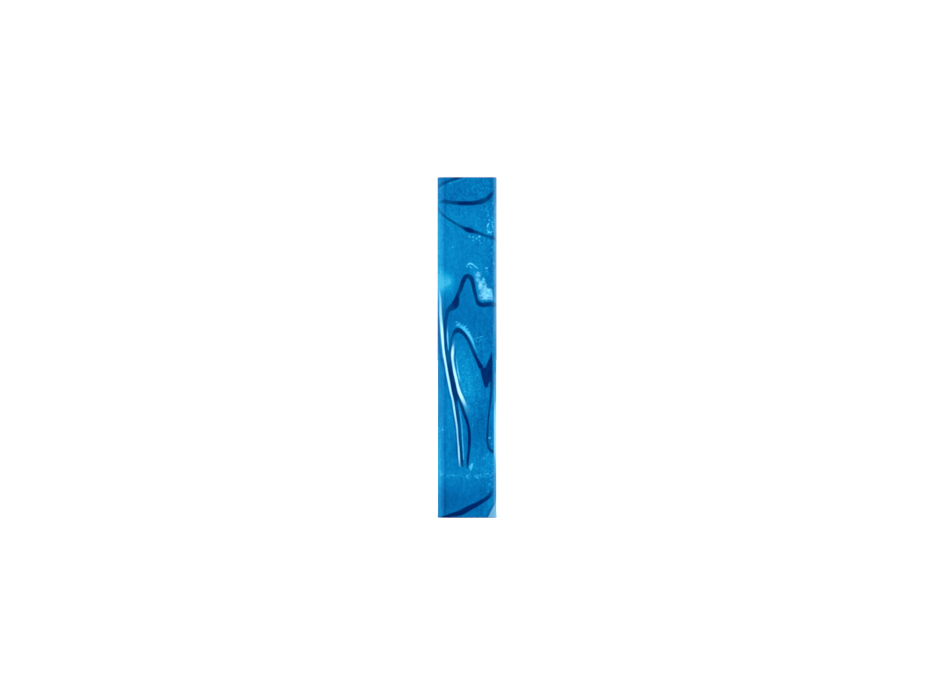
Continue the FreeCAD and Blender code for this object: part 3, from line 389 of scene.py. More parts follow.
def bleed(d, s):
    x = np.clip(0.5 - d / (2 * s), 0, 1)
    return x * x * (3 - 2 * x)


shape = (len(GU), len(GW))
navy, white, pale = np.zeros(shape, np.float32), np.zeros(shape, np.float32), np.zeros(shape, np.float32)
ink = np.zeros(shape, np.float32)
marks = np.zeros(shape, np.float32)
milky = np.zeros(shape, np.float32)
nearest = np.full(shape, FAR, np.float32)


def lay_navy(d, s, level):
    """Edge of the ink in one field, its depth of colour in the other."""
    edge = bleed(d, s)
    more = edge * level > navy * ink
    navy[more] = edge[more]
    ink[more] = level[more] if hasattr(level, "shape") else level


beside_white = np.full(shape, FAR, np.float32)
cloud = np.zeros(shape, np.float32)
for table in (NAVY_RIBBONS, LIGHT_RIBBONS):
    for name, rows in table.items():
        d, level = segments_field(smooth(rows))
        if name.startswith("navy"):
            lay_navy(d, BLEED[name] + 0.16, level)
        else:
            layer = {"white": white, "pale": pale}[name.split("_")[0]]
            np.maximum(layer, bleed(d, BLEED[name]) * level, out=layer)
        np.minimum(nearest, np.abs(d), out=nearest)
        if name in ("white_left_ribbon", "white_inner_crescent"):
            np.minimum(beside_white, d + 1.2 * (1 - np.clip(level, 0, 1)), out=beside_white)
for table in (NAVY_POOLS, LIGHT_POOLS):
    for name, rows in table.items():
        d = pool_field(rows)
        s, level = POOLS[name]
        if name.startswith("navy"):
            lay_navy(d, s + 0.16, level)
        else:
            layer = {"pale_cloud": cloud, "pale_corner_wedge": milky}.get(name, pale)
            np.maximum(layer, bleed(d, s) * level, out=layer)
        np.minimum(nearest, np.abs(d), out=nearest)

for rows, s, level in FINE_MARKS:
    d, _ = segments_field(smooth([row + (1.0,) for row in rows]), 1.5)
    np.maximum(marks, bleed(d, s) * level, out=marks)
    np.minimum(nearest, np.abs(d), out=nearest)
for rows, s, level in DARK_MARKS:
    d, _ = segments_field(smooth([row + (1.0,) for row in rows]), 1.5)
    lay_navy(d, s + 0.1, level)
    np.minimum(nearest, np.abs(d), out=nearest)
patches = np.zeros(shape, np.float32)
for u, w, ru, rw, level in CLOUD_SPOTS:
    r = np.hypot((GU[:, None] - u) / ru, (GW[None, :] - w) / rw)
    patches = 1 - (1 - patches) * (1 - level * 0.8 * np.exp(-0.5 * (r / 1.05) ** 2))
cloud = np.clip(0.98 * patches * (0.35 + 0.65 * np.clip(cloud / 0.55, 0, 1)), 0, 1)
wisp, _ = segments_field(smooth([row + (1.0,) for row in WISP]), 3.0)
np.minimum(nearest, np.abs(wisp) + 0.1, out=nearest)
wisp = bleed(wisp, 1.0)
gu, gw = GU[:, None], GW[None, :]
for u, w, r, level in FLECKS:
    d = np.hypot(gu - u, gw - w) - r
    np.maximum(marks, bleed(d, 0.26) * level, out=marks)
    np.minimum(nearest, np.abs(d), out=nearest)
u, w, a, b, line, level = RING
d = np.abs(np.hypot((gu - u) / a, (gw - w) / b) - 1) * min(a, b) - line / 2
broken = 0.6 + 0.4 * np.sin(3 * np.arctan2(gw - w, gu - u) + 0.7)
np.maximum(marks, bleed(d, 0.2) * level * broken, out=marks)
np.minimum(nearest, np.abs(d), out=nearest)



def spread(field):
    """Carries the depth of colour a little way outside the ink's edge."""
    for _ in range(3):
        grown = field.copy()
        for step, axis in ((1, 0), (-1, 0), (1, 1), (-1, 1)):
            np.maximum(grown, np.roll(field, step, axis), out=grown)
        field = np.where(field > 0, field, grown)
    return field


tone = np.full(shape, 0.42, np.float32)
for u, w, ru, rw, amount in TONES:
    tone += amount * np.exp(-0.5 * (((gu - u) / ru) ** 2 + ((gw - w) / rw) ** 2))
# the blue is drawn a little darker right beside the white ribbons
tone -= 0.30 * np.exp(-(((beside_white - 0.48) / 0.30) ** 2))
# Where the mica is coarse: towards the right, at the top and inside the loop; it scales the grain, the ripple and the
# painted mica glints.
mica = 0.50 + 0.42 / (1 + np.exp(-(gu - 3.5) / 1.6)) + 0.50 * np.exp(-0.5 * (((gu + 0.9) / 4) ** 2 + ((gw - 52) / 12) ** 2))
mica = mica + 0.35 / (1 + np.exp(-(gw - 108.0) / 3.0)) - 0.22 / (1 + np.exp((gw - 11.0) / 2.0))
mica = (mica - 0.30 * np.exp(-0.5 * (((gu - 1.0) / 6) ** 2 + ((gw - 76) / 6) ** 2))).astype(np.float32)
FIELDS = {"navy": navy, "ink": spread(ink),  "white": np.clip(white, 0, 1.1), "pale": np.clip(pale, 0, 1), "marks": np.clip(marks, 0, 1), "milky": milky, "wisp": wisp, "cloud": cloud,
          "tone": tone, "mica": mica, "nearest": nearest}


def pattern_place(p):
    """Front-plane place of points in millimetres."""
    depth = p[:, 1] + DEPTH / 2
    return p[:, 0] - LEAN_X * depth, p[:, 2] - LEAN_Z * depth


def read(field, u, w):
    x = np.clip((u - U0) / STEP, 0, len(GU) - 1.001)
    y = np.clip((w - W0) / STEP, 0, len(GW) - 1.001)
    i, j = x.astype(int), y.astype(int)
    fx, fy = x - i, y - j
    return (field[i, j] * (1 - fx) * (1 - fy) + field[i + 1, j] * fx * (1 - fy)
            + field[i, j + 1] * (1 - fx) * fy + field[i + 1, j + 1] * fx * fy)


# ---- the bar's own surface ---------------------------------------------------
HW, HD = WIDTH / 2, DEPTH / 2
ROUNDS = [(HW - FRONT_ROUND, -HD + FRONT_ROUND, FRONT_ROUND, 1, -1),
          (HW - BACK_ROUND, HD - BACK_ROUND, BACK_ROUND, 1, 1),
          (-HW + BACK_ROUND, HD - BACK_ROUND, BACK_ROUND, -1, 1)]


def turned_about(u, w):
    """The front's small marks come out again on the back, turned half round."""
    return 9.24 - u, LENGTH + 6.6 - w


def depth_below_side(p):
    """How far inside the bar's long faces a point is."""
    x, y = p[:, 0], p[:, 1]
    d = np.minimum(np.minimum(HW - x, HW + x), np.minimum(HD - y, HD + y))
    d = np.minimum(d, (x + HW + y + HD - BEVEL) / math.sqrt(2))
    for cx, cy, r, sx, sy in ROUNDS:
        corner = ((x - cx) * sx > 0) & ((y - cy) * sy > 0)
        d = np.where(corner, r - np.hypot(x - cx, y - cy), d)
    return d


def depth_below(p):
    """The same with the two cut ends and their arrises."""
    side = depth_below_side(p)
    end = np.minimum(p[:, 2], LENGTH - p[:, 2])
    return np.minimum(np.minimum(side, end), (side + end - 0.3) / math.sqrt(2))


def onto_rounds(p):
    x, y = p[:, 0].copy(), p[:, 1].copy()
    for cx, cy, r, sx, sy in ROUNDS:
        far = np.hypot(p[:, 0] - cx, p[:, 1] - cy)
        near = ((p[:, 0] - cx) * sx > 1e-4) & ((p[:, 1] - cy) * sy > 1e-4) & (np.abs(far - r) < 0.12)
        near &= (p[:, 2] > 0.31) & (p[:, 2] < LENGTH - 0.31)
        x[near] = cx + (p[near, 0] - cx) * r / far[near]
        y[near] = cy + (p[near, 1] - cy) * r / far[near]
    return np.column_stack([x, y, p[:, 2]])


def longest_allowed(p):
    u, w = pattern_place(p)
    near = read(FIELDS["nearest"], u, w)
    near = np.where(p[:, 1] > HD - 0.05, np.minimum(near, read(FIELDS["nearest"], *turned_about(u, w)) + 0.30), near)
    limit = np.clip(0.27 + 0.70 * near, 0.27, 1.30)
    front = (p[:, 1] < -HD + BEVEL + 0.01)
    limit = np.where(front, limit, limit * 1.6)
    edge = np.minimum(HW - np.abs(p[:, 0]), HD - np.abs(p[:, 1]))
    corner = (np.abs(p[:, 0]) > HW - 2.5) & (np.abs(p[:, 1]) > HD - 2.5)
    limit = np.where(corner, np.minimum(limit, 0.5), limit)
    end = np.minimum(p[:, 2], LENGTH - p[:, 2])
    limit = np.where((end > 0.05) & (end < 0.8), np.minimum(limit, 0.35), limit)
    return limit


def refine(v, f):
    """Splits the skin's long edges until none is longer than allowed.  Shared edges split
    together, so the mesh stays closed."""
    for _ in range(60):
        e = np.sort(np.concatenate([f[:, [0, 1]], f[:, [1, 2]], f[:, [2, 0]]]), axis=1)
        key = e[:, 0].astype(np.int64) * len(v) + e[:, 1]
        uniq, first, inv = np.unique(key, return_index=True, return_inverse=True)
        a, b = e[first, 0], e[first, 1]
        length = np.linalg.norm(v[a] - v[b], axis=1)
        middle = (v[a] + v[b]) / 2
        # only the longest side of some triangle is halved, so slivers are cut across first
        sides = length[inv].reshape(3, len(f))
        longest = np.zeros(len(uniq), bool)
        longest[inv.reshape(3, len(f))[sides.argmax(axis=0), np.arange(len(f))]] = True
        split = (length > 0.27) & longest
        idx = np.where(split)[0]
        on_skin = depth_below(middle[idx]) < 0.03
        idx = idx[on_skin]
        idx = idx[length[idx] > longest_allowed(middle[idx])]
        if not len(idx):
            break
        new = np.full(len(uniq), -1)
        new[idx] = len(v) + np.arange(len(idx))
        v = np.vstack([v, middle[idx]])
        n = len(f)
        m = np.column_stack([new[inv[:n]], new[inv[n:2 * n]], new[inv[2 * n:]]])
        count = (m >= 0).sum(axis=1)
        out = [f[count == 0]]
        for k in range(3):        # one edge split: edge k
            pick = (count == 1) & (m[:, k] >= 0)
            if pick.any():
                t, x = f[pick], m[pick, k]
                p0, p1, p2 = t[:, k], t[:, (k + 1) % 3], t[:, (k + 2) % 3]
                out += [np.column_stack([p0, x, p2]), np.column_stack([x, p1, p2])]
        for k in range(3):        # two split: edge k is whole
            pick = (count == 2) & (m[:, k] < 0)
            if pick.any():
                t = f[pick]
                p0, p1, p2 = t[:, k], t[:, (k + 1) % 3], t[:, (k + 2) % 3]
                x, y = m[pick, (k + 1) % 3], m[pick, (k + 2) % 3]   # on p1-p2, on p2-p0
                out.append(np.column_stack([x, p2, y]))
                first_way = np.linalg.norm(v[p0] - v[x], axis=1) < np.linalg.norm(v[p1] - v[y], axis=1)
                s = first_way
                out += [np.column_stack([p0[s], p1[s], x[s]]), np.column_stack([p0[s], x[s], y[s]])]
                s = ~first_way
                out += [np.column_stack([p0[s], p1[s], y[s]]), np.column_stack([p1[s], x[s], y[s]])]
        pick = count == 3
        if pick.any():
            t, q = f[pick], m[pick]
            out += [np.column_stack([t[:, 0], q[:, 0], q[:, 2]]), np.column_stack([q[:, 0], t[:, 1], q[:, 1]]),
                    np.column_stack([q[:, 2], q[:, 1], t[:, 2]]), q]
        f = np.vstack(out)
    return v, f


def cad_mesh(obj):
    """Welded vertices in millimetres, and triangles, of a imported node."""
    mesh = obj.data
    mesh.calc_loop_triangles()
    co = np.empty(len(mesh.vertices) * 3, np.float64)
    mesh.vertices.foreach_get("co", co)
    tri = np.empty(len(mesh.loop_triangles) * 3, np.int64)
    mesh.loop_triangles.foreach_get("vertices", tri)
    co = co.reshape(-1, 3) * 1000
    _, first, inv = np.unique(np.round(co * 1000).astype(np.int64), axis=0, return_index=True, return_inverse=True)
    tri = inv.reshape(-1)[tri].reshape(-1, 3)
    good = (tri[:, 0] != tri[:, 1]) & (tri[:, 1] != tri[:, 2]) & (tri[:, 2] != tri[:, 0])
    return co[first], tri[good]


def smoothstep(x, a, b):
    t = np.clip((x - a) / (b - a), 0, 1)
    return t * t * (3 - 2 * t)


def surface_terms(p):
    """Tone added by the bar's own form: painted highlights on the long edges and the bevel, dark arrises, sawn ends."""
    x, y, z = p[:, 0], p[:, 1], p[:, 2]
    end = np.minimum(z, LENGTH - z)
    add = np.zeros(len(p))
    # the flat bevel at the front left, drawn lighter as a painted highlight, with a thin darker line beside it
    inward = x + HW - BEVEL           # negative on the bevel
    on_bevel = (x + HW + y + HD < BEVEL + 0.02) & (inward < 0)
    bevel_highlight = np.interp(z, [2.8, 10.2, 18.8, 27.7, 38.2, 56.8, 80.0, 101.5, 114.6, 125.0],
                     [0.28, 0.30, 0.38, 0.28, 0.07, 0.10, 0.22, 0.28, 0.24, 0.14])
    across = np.interp(-inward, [0.0, 0.4, 0.8, 1.2, 1.6, 2.0, 2.3], [0.0, 0.18, 0.45, 0.82, 1.0, 0.75, 0.30])
    add += np.where(on_bevel, across * bevel_highlight, 0)
    add -= 0.13 * np.exp(-0.5 * ((inward - 0.55) / 0.42) ** 2) * (y < -HD + 0.05)
    # the rounded edges catch the light
    rim_highlight = np.zeros(len(p))
    cx, cy, r, _, _ = ROUNDS[0]
    out = np.clip((x - cx) / r, 0, 1)
    front = np.interp(out, [0.0, 0.30, 0.51, 0.74, 1.0], [0.0, 0.015, 0.12, 0.24, 0.36])
    fade = 1 - smoothstep(y, cy - 0.6, cy + 1.5)
    along = np.interp(z, [0, 8, 15, 21, 28, 50, 53, 56, 61, 66, 72, 80, 115, 119, 127],
                      [1.3, 0.9, 1.1, 1.3, 1.0, 0.9, 0.9, 0.3, 0.3, 0.5, 1.1, 1.35, 1.4, 0.9, 0.8])
    rim_highlight = np.where(x > cx, front * fade * along, rim_highlight)
    # painted highlight: the front right round drawn lighter
    add += np.where(x > cx - 0.8, 0.10 * smoothstep(out, 0.0, 0.4) * fade, 0)
    add -= 0.07 * np.exp(-0.5 * ((x - cx + 0.6) / 0.5) ** 2) * (y < -HD + 0.05)
    for cx, cy, r, sx, sy in ROUNDS[1:]:
        ax, ay = np.clip((x - cx) * sx / r, 0, 1), np.clip((y - cy) * sy / r, 0, 1)
        # painted highlight along the two back rounded edges
        rim_highlight = np.maximum(rim_highlight, 0.04 * (4 * ax * ay) ** 0.7)
    # painted highlight along the bevel's outer edge
    rim_highlight = np.maximum(rim_highlight, 0.10 * smoothstep(-inward, 1.9, 2.3) * (1 - smoothstep(y, -HD + BEVEL, -HD + BEVEL + 0.8)))
    side = end > 0.02
    dark = side * (1 - smoothstep(end, 0.10, 0.62)) * np.where(z < 5, 0.62, 0.42)
    sawn = (end < 0.02) & (depth_below_side(p) > 0.25)
    return add, rim_highlight, dark, sawn.astype(float)


MATERIALS = {}


def resin(name, roughness):
    mat = bpy.data.materials.new(name)
    mat.use_nodes = True
    nt = mat.node_tree
    nt.nodes.clear()
    L = nt.links.new

    def node(kind, **inputs):
        n = nt.nodes.new(kind)
        for key, value in inputs.items():
            key = key.replace("_", " ")
            if hasattr(value, "is_output"):
                L(value, n.inputs[key])
            else:
                n.inputs[key].default_value = value
        return n

    def attribute(key):
        n = nt.nodes.new("ShaderNodeAttribute")
        n.attribute_name = key
        return n.outputs["Fac"]

    def maths(op, a, b, c=None, clamp=False):
        n = nt.nodes.new("ShaderNodeMath")
        n.operation = op
        n.use_clamp = clamp
        for i, value in enumerate((a, b) if c is None else (a, b, c)):
            if hasattr(value, "is_output"):
                L(value, n.inputs[i])
            else:
                n.inputs[i].default_value = value
        return n.outputs[0]

    def blend(factor, a, b):
        n = nt.nodes.new("ShaderNodeMix")
        n.data_type = "RGBA"
        for i, value in ((0, factor), (6, a), (7, b)):
            if hasattr(value, "is_output"):
                L(value, n.inputs[i])
            else:
                n.inputs[i].default_value = value
        return n.outputs[2]

    def lay(factor, a, middle, full, gain=1.5, knee=0.30):
        """Thin pigment takes the middle colour first, then the full one."""
        thin = blend(maths("MULTIPLY", factor, gain, clamp=True), a, middle)
        return blend(maths("MULTIPLY_ADD", factor, 1.05 + knee, -knee, clamp=True), thin, full)

    def noise(vector, scale, detail=2.0, rough=0.5, distortion=0.0):
        n = nt.nodes.new("ShaderNodeTexNoise")
        L(vector, n.inputs["Vector"])
        n.inputs["Scale"].default_value = scale
        n.inputs["Detail"].default_value = detail
        n.inputs["Roughness"].default_value = rough
        n.inputs["Distortion"].default_value = distortion
        return n.outputs["Fac"]

    def stretched(x, y, z):
        n = nt.nodes.new("ShaderNodeMapping")
        L(place, n.inputs["Vector"])
        n.inputs["Scale"].default_value = (x, y, z)
        return n.outputs["Vector"]

    place = nt.nodes.new("ShaderNodeTexCoord").outputs["Object"]
    grain = noise(place, 1500.0, 3.0, 0.65)
    turned = nt.nodes.new("ShaderNodeMapping")
    L(place, turned.inputs["Vector"])
    turned.inputs["Rotation"].default_value = (0.0, math.radians(-38.0), math.radians(20.0))
    turned.inputs["Scale"].default_value = (1.0, 1.0, 0.22)
    ripple = noise(turned.outputs["Vector"], 1250.0, 2.0, 0.5)
    pearl = noise(place, 620.0, 3.0, 0.6, 0.6)
    streak = noise(stretched(1.0, 1.0, 0.14), 900.0, 3.0, 0.6)
    cloud = noise(stretched(1.0, 1.0, 0.55), 150.0, 4.0, 0.55, 1.2)
    mica = attribute("mica")

    v = attribute("tone")
    v = maths("MULTIPLY_ADD", maths("MULTIPLY", maths("SUBTRACT", grain, 0.5), 0.95), mica, v)
    v = maths("MULTIPLY_ADD", maths("MULTIPLY", maths("SUBTRACT", ripple, 0.5), 0.45), mica, v)
    v = maths("MULTIPLY_ADD", maths("SUBTRACT", pearl, 0.5), 0.34, v)
    v = maths("MULTIPLY_ADD", maths("SUBTRACT", streak, 0.5), 0.26, v)
    v = maths("MULTIPLY_ADD", maths("SUBTRACT", cloud, 0.5), 0.16, v)

    # mica flakes as bright specks: their sparkle is painted into the colour, more where the mica is coarse
    flakes = nt.nodes.new("ShaderNodeTexVoronoi")
    L(place, flakes.inputs["Vector"])
    flakes.inputs["Scale"].default_value = 1500.0
    chosen = nt.nodes.new("ShaderNodeSeparateColor")
    L(flakes.outputs["Color"], chosen.inputs[0])
    speck = nt.nodes.new("ShaderNodeMapRange")
    speck.interpolation_type = "SMOOTHSTEP"
    L(flakes.outputs["Distance"], speck.inputs["Value"])
    speck.inputs["From Min"].default_value = 0.42
    speck.inputs["From Max"].default_value = 0.12
    picked = maths("GREATER_THAN", chosen.outputs[0], 0.86)
    mica_glint = maths("MULTIPLY", maths("MULTIPLY", speck.outputs[0], picked), mica)
    v = maths("MULTIPLY_ADD", mica_glint, 0.34, v)

    ramp = nt.nodes.new("ShaderNodeValToRGB")
    L(v, ramp.inputs["Fac"])
    stops = BLUES
    ramp.color_ramp.elements[0].position = stops[0][0]
    ramp.color_ramp.elements[0].color = stops[0][1]
    ramp.color_ramp.elements[1].position = stops[-1][0]
    ramp.color_ramp.elements[1].color = stops[-1][1]
    for at, colour in stops[1:-1]:
        ramp.color_ramp.elements.new(at).color = colour
    colour = ramp.outputs["Color"]

    # pale bleeds, broken up by the mica
    broken = maths("MULTIPLY_ADD", maths("SUBTRACT", pearl, 0.5), 1.1, 1.0)
    haze = maths("MULTIPLY", attribute("pale"), broken, clamp=True)
    colour = lay(haze, colour, THIN, PALE)
    ragged = maths("MULTIPLY_ADD", maths("SUBTRACT", grain, 0.5), 2.6, maths("MULTIPLY_ADD", maths("SUBTRACT", pearl, 0.5), 1.9, 0.96))
    puff = maths("MULTIPLY", attribute("cloud"), ragged, clamp=True)
    colour = lay(puff, colour, THIN, CLOUD, 1.35, 0.22)
    dots = nt.nodes.new("ShaderNodeMapRange")
    dots.interpolation_type = "SMOOTHSTEP"
    L(grain, dots.inputs["Value"])
    dots.inputs["From Min"].default_value = 0.46
    dots.inputs["From Max"].default_value = 0.66
    small = maths("MULTIPLY", attribute("marks"), maths("MULTIPLY_ADD", dots.outputs[0], 1.10, 0.85), clamp=True)
    colour = lay(small, colour, THIN, PALE)
    line = maths("MULTIPLY", attribute("wisp"), maths("MULTIPLY_ADD", dots.outputs[0], 0.72, 0.05), clamp=True)
    colour = lay(line, colour, THIN, PALE)
    milky = maths("MULTIPLY", attribute("milky"), maths("MULTIPLY_ADD", maths("SUBTRACT", pearl, 0.5), 0.5, 1.0), clamp=True)
    colour = blend(milky, colour, MILKY)
    # navy
    wander = maths("MULTIPLY_ADD", maths("SUBTRACT", pearl, 0.5), 0.60, attribute("navy"))
    wander = maths("MULTIPLY_ADD", maths("SUBTRACT", grain, 0.5), 0.40, wander)
    edge = nt.nodes.new("ShaderNodeMapRange")
    edge.interpolation_type = "SMOOTHSTEP"
    L(wander, edge.inputs["Value"])
    edge.inputs["From Min"].default_value = 0.10
    edge.inputs["From Max"].default_value = 0.88
    depth = maths("MULTIPLY", attribute("ink"), maths("MULTIPLY_ADD", maths("SUBTRACT", pearl, 0.5), 0.25, 1.0))
    ink = maths("MULTIPLY", edge.outputs[0], depth, clamp=True)
    colour = blend(ink, colour, NAVY)
    # white, faintly streaked along its length
    milk = maths("MULTIPLY", attribute("white"), maths("MULTIPLY_ADD", maths("SUBTRACT", streak, 0.5), 0.35, 0.97), clamp=True)
    colour = blend(maths("MULTIPLY", milk, 1.5, clamp=True), colour, MID)
    colour = blend(maths("MULTIPLY_ADD", milk, 1.6, -0.6, clamp=True), colour, WHITE)
    # painted highlight on the rounded edges and the bevel's edge
    colour = blend(maths("MULTIPLY", attribute("rim_highlight"), maths("MULTIPLY_ADD", maths("SUBTRACT", pearl, 0.5), 0.6, 1.0), clamp=True), colour, RIM_HIGHLIGHT)
    # sawn ends: dusty and a little paler
    sawn = attribute("sawn")
    dust = maths("MULTIPLY", sawn, maths("MULTIPLY_ADD", grain, 0.25, 0.10))
    colour = blend(dust, colour, DUST)

    # roughness
    rough = maths("MULTIPLY_ADD", maths("SUBTRACT", streak, 0.5), 0.25, roughness)
    rough = maths("MULTIPLY_ADD", sawn, 0.28, rough, clamp=True)

    # ground faces: very fine marks across the bar; ends: saw kerfs
    across = noise(stretched(0.12, 0.12, 1.0), 3800.0, 2.0, 0.5)
    kerf = nt.nodes.new("ShaderNodeTexWave")
    kerf.bands_direction = "DIAGONAL"
    L(stretched(1.0, 0.35, 0.0), kerf.inputs["Vector"])
    kerf.inputs["Scale"].default_value = 260.0
    kerf.inputs["Distortion"].default_value = 2.2
    kerf.inputs["Detail"].default_value = 2.0
    height = maths("MULTIPLY_ADD", maths("SUBTRACT", across, 0.5), 0.5, maths("MULTIPLY", pearl, 0.5))
    height = maths("MULTIPLY_ADD", maths("MULTIPLY", kerf.outputs["Fac"], sawn), 2.5, height)
    bump = nt.nodes.new("ShaderNodeBump")
    bump.inputs["Strength"].default_value = 0.35
    bump.inputs["Distance"].default_value = 0.00004
    L(height, bump.inputs["Height"])

    shader = nt.nodes.new("ShaderNodeBsdfPrincipled")
    L(colour, shader.inputs["Base Color"])
    L(rough, shader.inputs["Roughness"])
    L(bump.outputs["Normal"], shader.inputs["Normal"])
    shader.inputs["IOR"].default_value = 1.5
    shader.inputs["Specular IOR Level"].default_value = 0.09
    shader.inputs["Specular Tint"].default_value = (0.02, 0.55, 1.0, 1.0)
    out = nt.nodes.new("ShaderNodeOutputMaterial")
    L(shader.outputs[0], out.inputs["Surface"])
    return mat


def linear(r, g, b, gain=1.0):
    def one(c):
        c /= 255.0
        return (c / 12.92 if c <= 0.04045 else ((c + 0.055) / 1.055) ** 2.4) * gain
    return (one(r), one(g), one(b), 1.0)


GAIN = 0.80     # what the studio light leaves to the resin's own colour
LIGHT = 0.86    # the same for the pale and white resins
BLUES = [
    (0.00, linear(2, 78, 140, GAIN)), (0.28, linear(3, 107, 174, GAIN)), (0.44, linear(5, 123, 187, GAIN)),
    (0.58, linear(7, 137, 197, GAIN)), (0.77, linear(16, 158, 213, GAIN)), (1.00, linear(62, 184, 227, GAIN)),
]
NAVY = linear(1, 33, 99, GAIN)
WHITE = linear(192, 244, 253, LIGHT)
PALE = linear(88, 206, 246, LIGHT)
CLOUD = linear(140, 224, 249, LIGHT)
# colour of the painted highlight on the rounded edges
RIM_HIGHLIGHT = linear(156, 210, 232, LIGHT)
MILKY = linear(122, 188, 220, LIGHT)
THIN = linear(24, 166, 222, LIGHT)
MID = linear(70, 186, 232, LIGHT)
DUST = linear(120, 180, 215, GAIN)

SLOTS = {"navy": "navy_resin", "white": "white_resin", "pale": "pale_resin", "blue": "blue_resin"}
ROUGH = {"navy_resin": 0.30, "white_resin": 0.36, "pale_resin": 0.36, "blue_resin": 0.33}
for slot_name, value in ROUGH.items():
    MATERIALS[slot_name] = resin(slot_name + "_cast", value)


def build_piece(name, source):
    v, f = cad_mesh(source)
    v, f = refine(v, f)
    v = onto_rounds(v)
    mesh = bpy.data.meshes.new(name + "_cast")
    mesh.vertices.add(len(v))
    mesh.vertices.foreach_set("co", (v / 1000).astype(np.float32).ravel())
    mesh.loops.add(len(f) * 3)
    mesh.loops.foreach_set("vertex_index", f.astype(np.int32).ravel())
    mesh.polygons.add(len(f))
    mesh.polygons.foreach_set("loop_start", np.arange(0, len(f) * 3, 3, dtype=np.int32))
    mesh.update(calc_edges=True)
    mesh.validate()
    u, w = pattern_place(v)
    add, rim_highlight, dark, sawn = surface_terms(v)
    front = 1 - smoothstep(v[:, 1], -HD + BEVEL, -HD + BEVEL + 2.5)
    back = 0.7 * smoothstep(v[:, 1], HD - 3.0, HD - 1.0)
    # the side and back faces: finer mica, slow drifts of the blue
    hidden = smoothstep(v[:, 1], -HD + 2.0, -HD + 6.0)
    slow = 0.045 * (np.sin(0.11 * v[:, 2] + 0.2 * v[:, 0] + 1.3) + np.sin(0.23 * v[:, 2] - 0.31 * v[:, 1])
                    + np.sin(0.27 * (v[:, 0] + v[:, 1]) + 0.07 * v[:, 2] + 2.1))
    small, line = (read(FIELDS[key], u, w) * front + read(FIELDS[key], *turned_about(u, w)) * back
                   for key in ("marks", "wisp"))
    values = {
        "navy": np.maximum(read(FIELDS["navy"], u, w), dark),
        "ink": np.maximum(read(FIELDS["ink"], u, w), dark), "rim_highlight": rim_highlight, "milky": read(FIELDS["milky"], u, w), "white": read(FIELDS["white"], u, w), "pale": read(FIELDS["pale"], u, w), "marks": small,
        "wisp": line, "cloud": read(FIELDS["cloud"], u, w), "mica": read(FIELDS["mica"], u, w) * (1 - 0.45 * hidden),
        # the tone also carries the painted highlights on the bevel and the front right round
        "tone": read(FIELDS["tone"], u, w) + add + hidden * slow, "sawn": sawn,
    }
    for key, data in values.items():
        layer = mesh.attributes.new(key, "FLOAT", "POINT")
        layer.data.foreach_set("value", np.asarray(data, np.float32))
    # soft shading over the rounds, sharp at the real edges
    n = np.cross(v[f[:, 1]] - v[f[:, 0]], v[f[:, 2]] - v[f[:, 0]])
    n /= np.maximum(np.linalg.norm(n, axis=1), 1e-12)[:, None]
    loops = np.sort(np.concatenate([f[:, [0, 1]], f[:, [1, 2]], f[:, [2, 0]]]), axis=1)
    face = np.tile(np.arange(len(f)), 3)
    order = np.lexsort((loops[:, 1], loops[:, 0]))
    pair = loops[order]
    same = (pair[1:] == pair[:-1]).all(axis=1)
    fa, fb = face[order][:-1][same], face[order][1:][same]
    sharp_pairs = pair[:-1][same][(n[fa] * n[fb]).sum(axis=1) < math.cos(math.radians(28))]
    edges = np.empty(len(mesh.edges) * 2, np.int32)
    mesh.edges.foreach_get("vertices", edges)
    edges = np.sort(edges.reshape(-1, 2), axis=1)
    keys = edges[:, 0].astype(np.int64) * len(v) + edges[:, 1]
    wanted = sharp_pairs[:, 0].astype(np.int64) * len(v) + sharp_pairs[:, 1]
    mesh.shade_smooth()
    layer = mesh.attributes.get("sharp_edge") or mesh.attributes.new("sharp_edge", "BOOLEAN", "EDGE")
    layer.data.foreach_set("value", np.isin(keys, wanted))
    slot_name = SLOTS[name.split("_")[0]]
    mesh.materials.append(MATERIALS[slot_name])
    piece = bpy.data.objects.new(name + "_cast", mesh)
    bpy.context.scene.collection.objects.link(piece)
    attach(piece, "root")
    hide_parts(name)
    source.data.materials.clear()
    source.data.materials.append(MATERIALS[slot_name])
    return piece


total = 0
for node_name, node_object in sorted(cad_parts.items()):
    made = build_piece(node_name, node_object)
    total += len(made.data.polygons)
    print("%-28s %7d faces" % (made.name, len(made.data.polygons)))
print("faces in all", total)

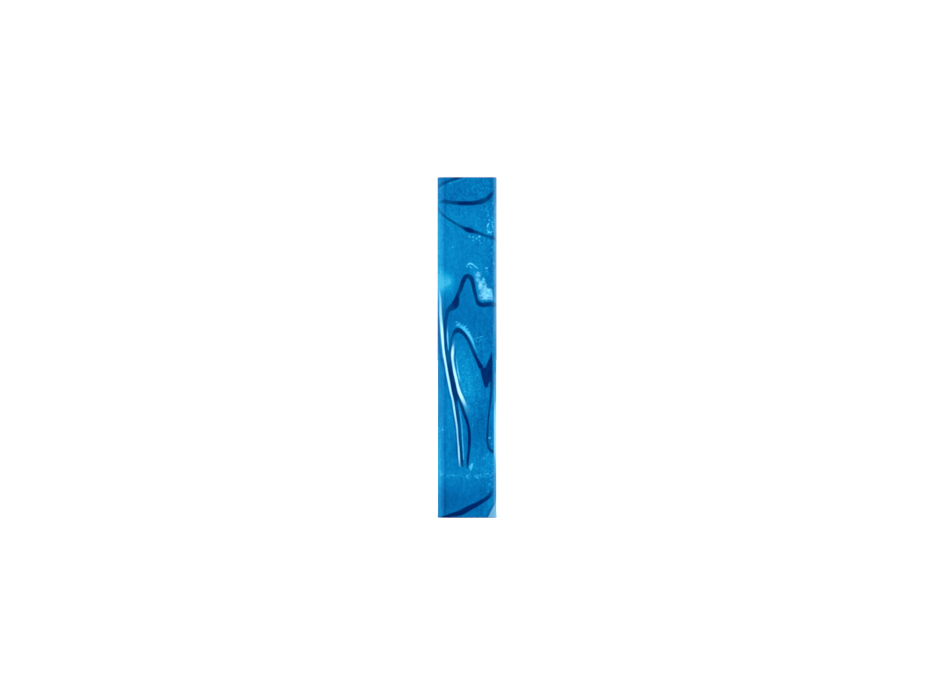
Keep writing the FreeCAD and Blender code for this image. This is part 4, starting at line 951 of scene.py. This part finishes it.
# ---- studio -------------------------------------------------------------------
scene = bpy.context.scene
scene.view_settings.view_transform = "Standard"
scene.view_settings.look = "None"

world = bpy.data.worlds.new("studio")
world.use_nodes = True
world.node_tree.nodes["Background"].inputs["Color"].default_value = (1.0, 1.0, 1.0, 1.0)
world.node_tree.nodes["Background"].inputs["Strength"].default_value = 1.0
scene.world = world

floor_mesh = bpy.data.meshes.new("studio_floor")
S = 30.0
floor_mesh.from_pydata([(-S, -S, 0), (S, -S, 0), (S, S, 0), (-S, S, 0)], [], [(0, 1, 2, 3)])
floor = bpy.data.objects.new("studio_floor", floor_mesh)
scene.collection.objects.link(floor)
paper = bpy.data.materials.new("studio_paper")
paper.use_nodes = True
paper.node_tree.nodes["Principled BSDF"].inputs["Base Color"].default_value = (0.95, 0.95, 0.95, 1.0)
paper.node_tree.nodes["Principled BSDF"].inputs["Roughness"].default_value = 0.9
paper.node_tree.nodes["Principled BSDF"].inputs["Emission Color"].default_value = (1.0, 1.0, 1.0, 1.0)
paper.node_tree.nodes["Principled BSDF"].inputs["Emission Strength"].default_value = 0.30
paper.node_tree.nodes["Principled BSDF"].inputs["Specular IOR Level"].default_value = 0.1
floor_mesh.materials.append(paper)


def sun(name, strength, angle, direction):
    lamp = bpy.data.lights.new(name, "SUN")
    lamp.energy = strength
    lamp.angle = math.radians(angle)
    obj = bpy.data.objects.new(name, lamp)
    x, y, z = direction
    obj.rotation_euler = (math.atan2(math.hypot(x, y), z), 0.0, math.atan2(x, -y))
    scene.collection.objects.link(obj)


# direction = where the light comes from
sun("key", 0.75, 50.0, (-0.55, -0.65, 0.75))
sun("fill", 0.25, 70.0, (0.8, -0.2, 0.6))

camera = bpy.data.cameras.new("camera")
camera.type = "PERSP"
camera.sensor_width = 36.0
camera.lens = 200.0
camera.clip_end = 100.0
cam = bpy.data.objects.new("camera", camera)
cam.location = (-0.000218, -1.9428, 0.06258)
cam.rotation_euler = (math.radians(90.0), 0.0, 0.0)
scene.collection.objects.link(cam)
scene.camera = cam

bpy.context.view_layer.update()
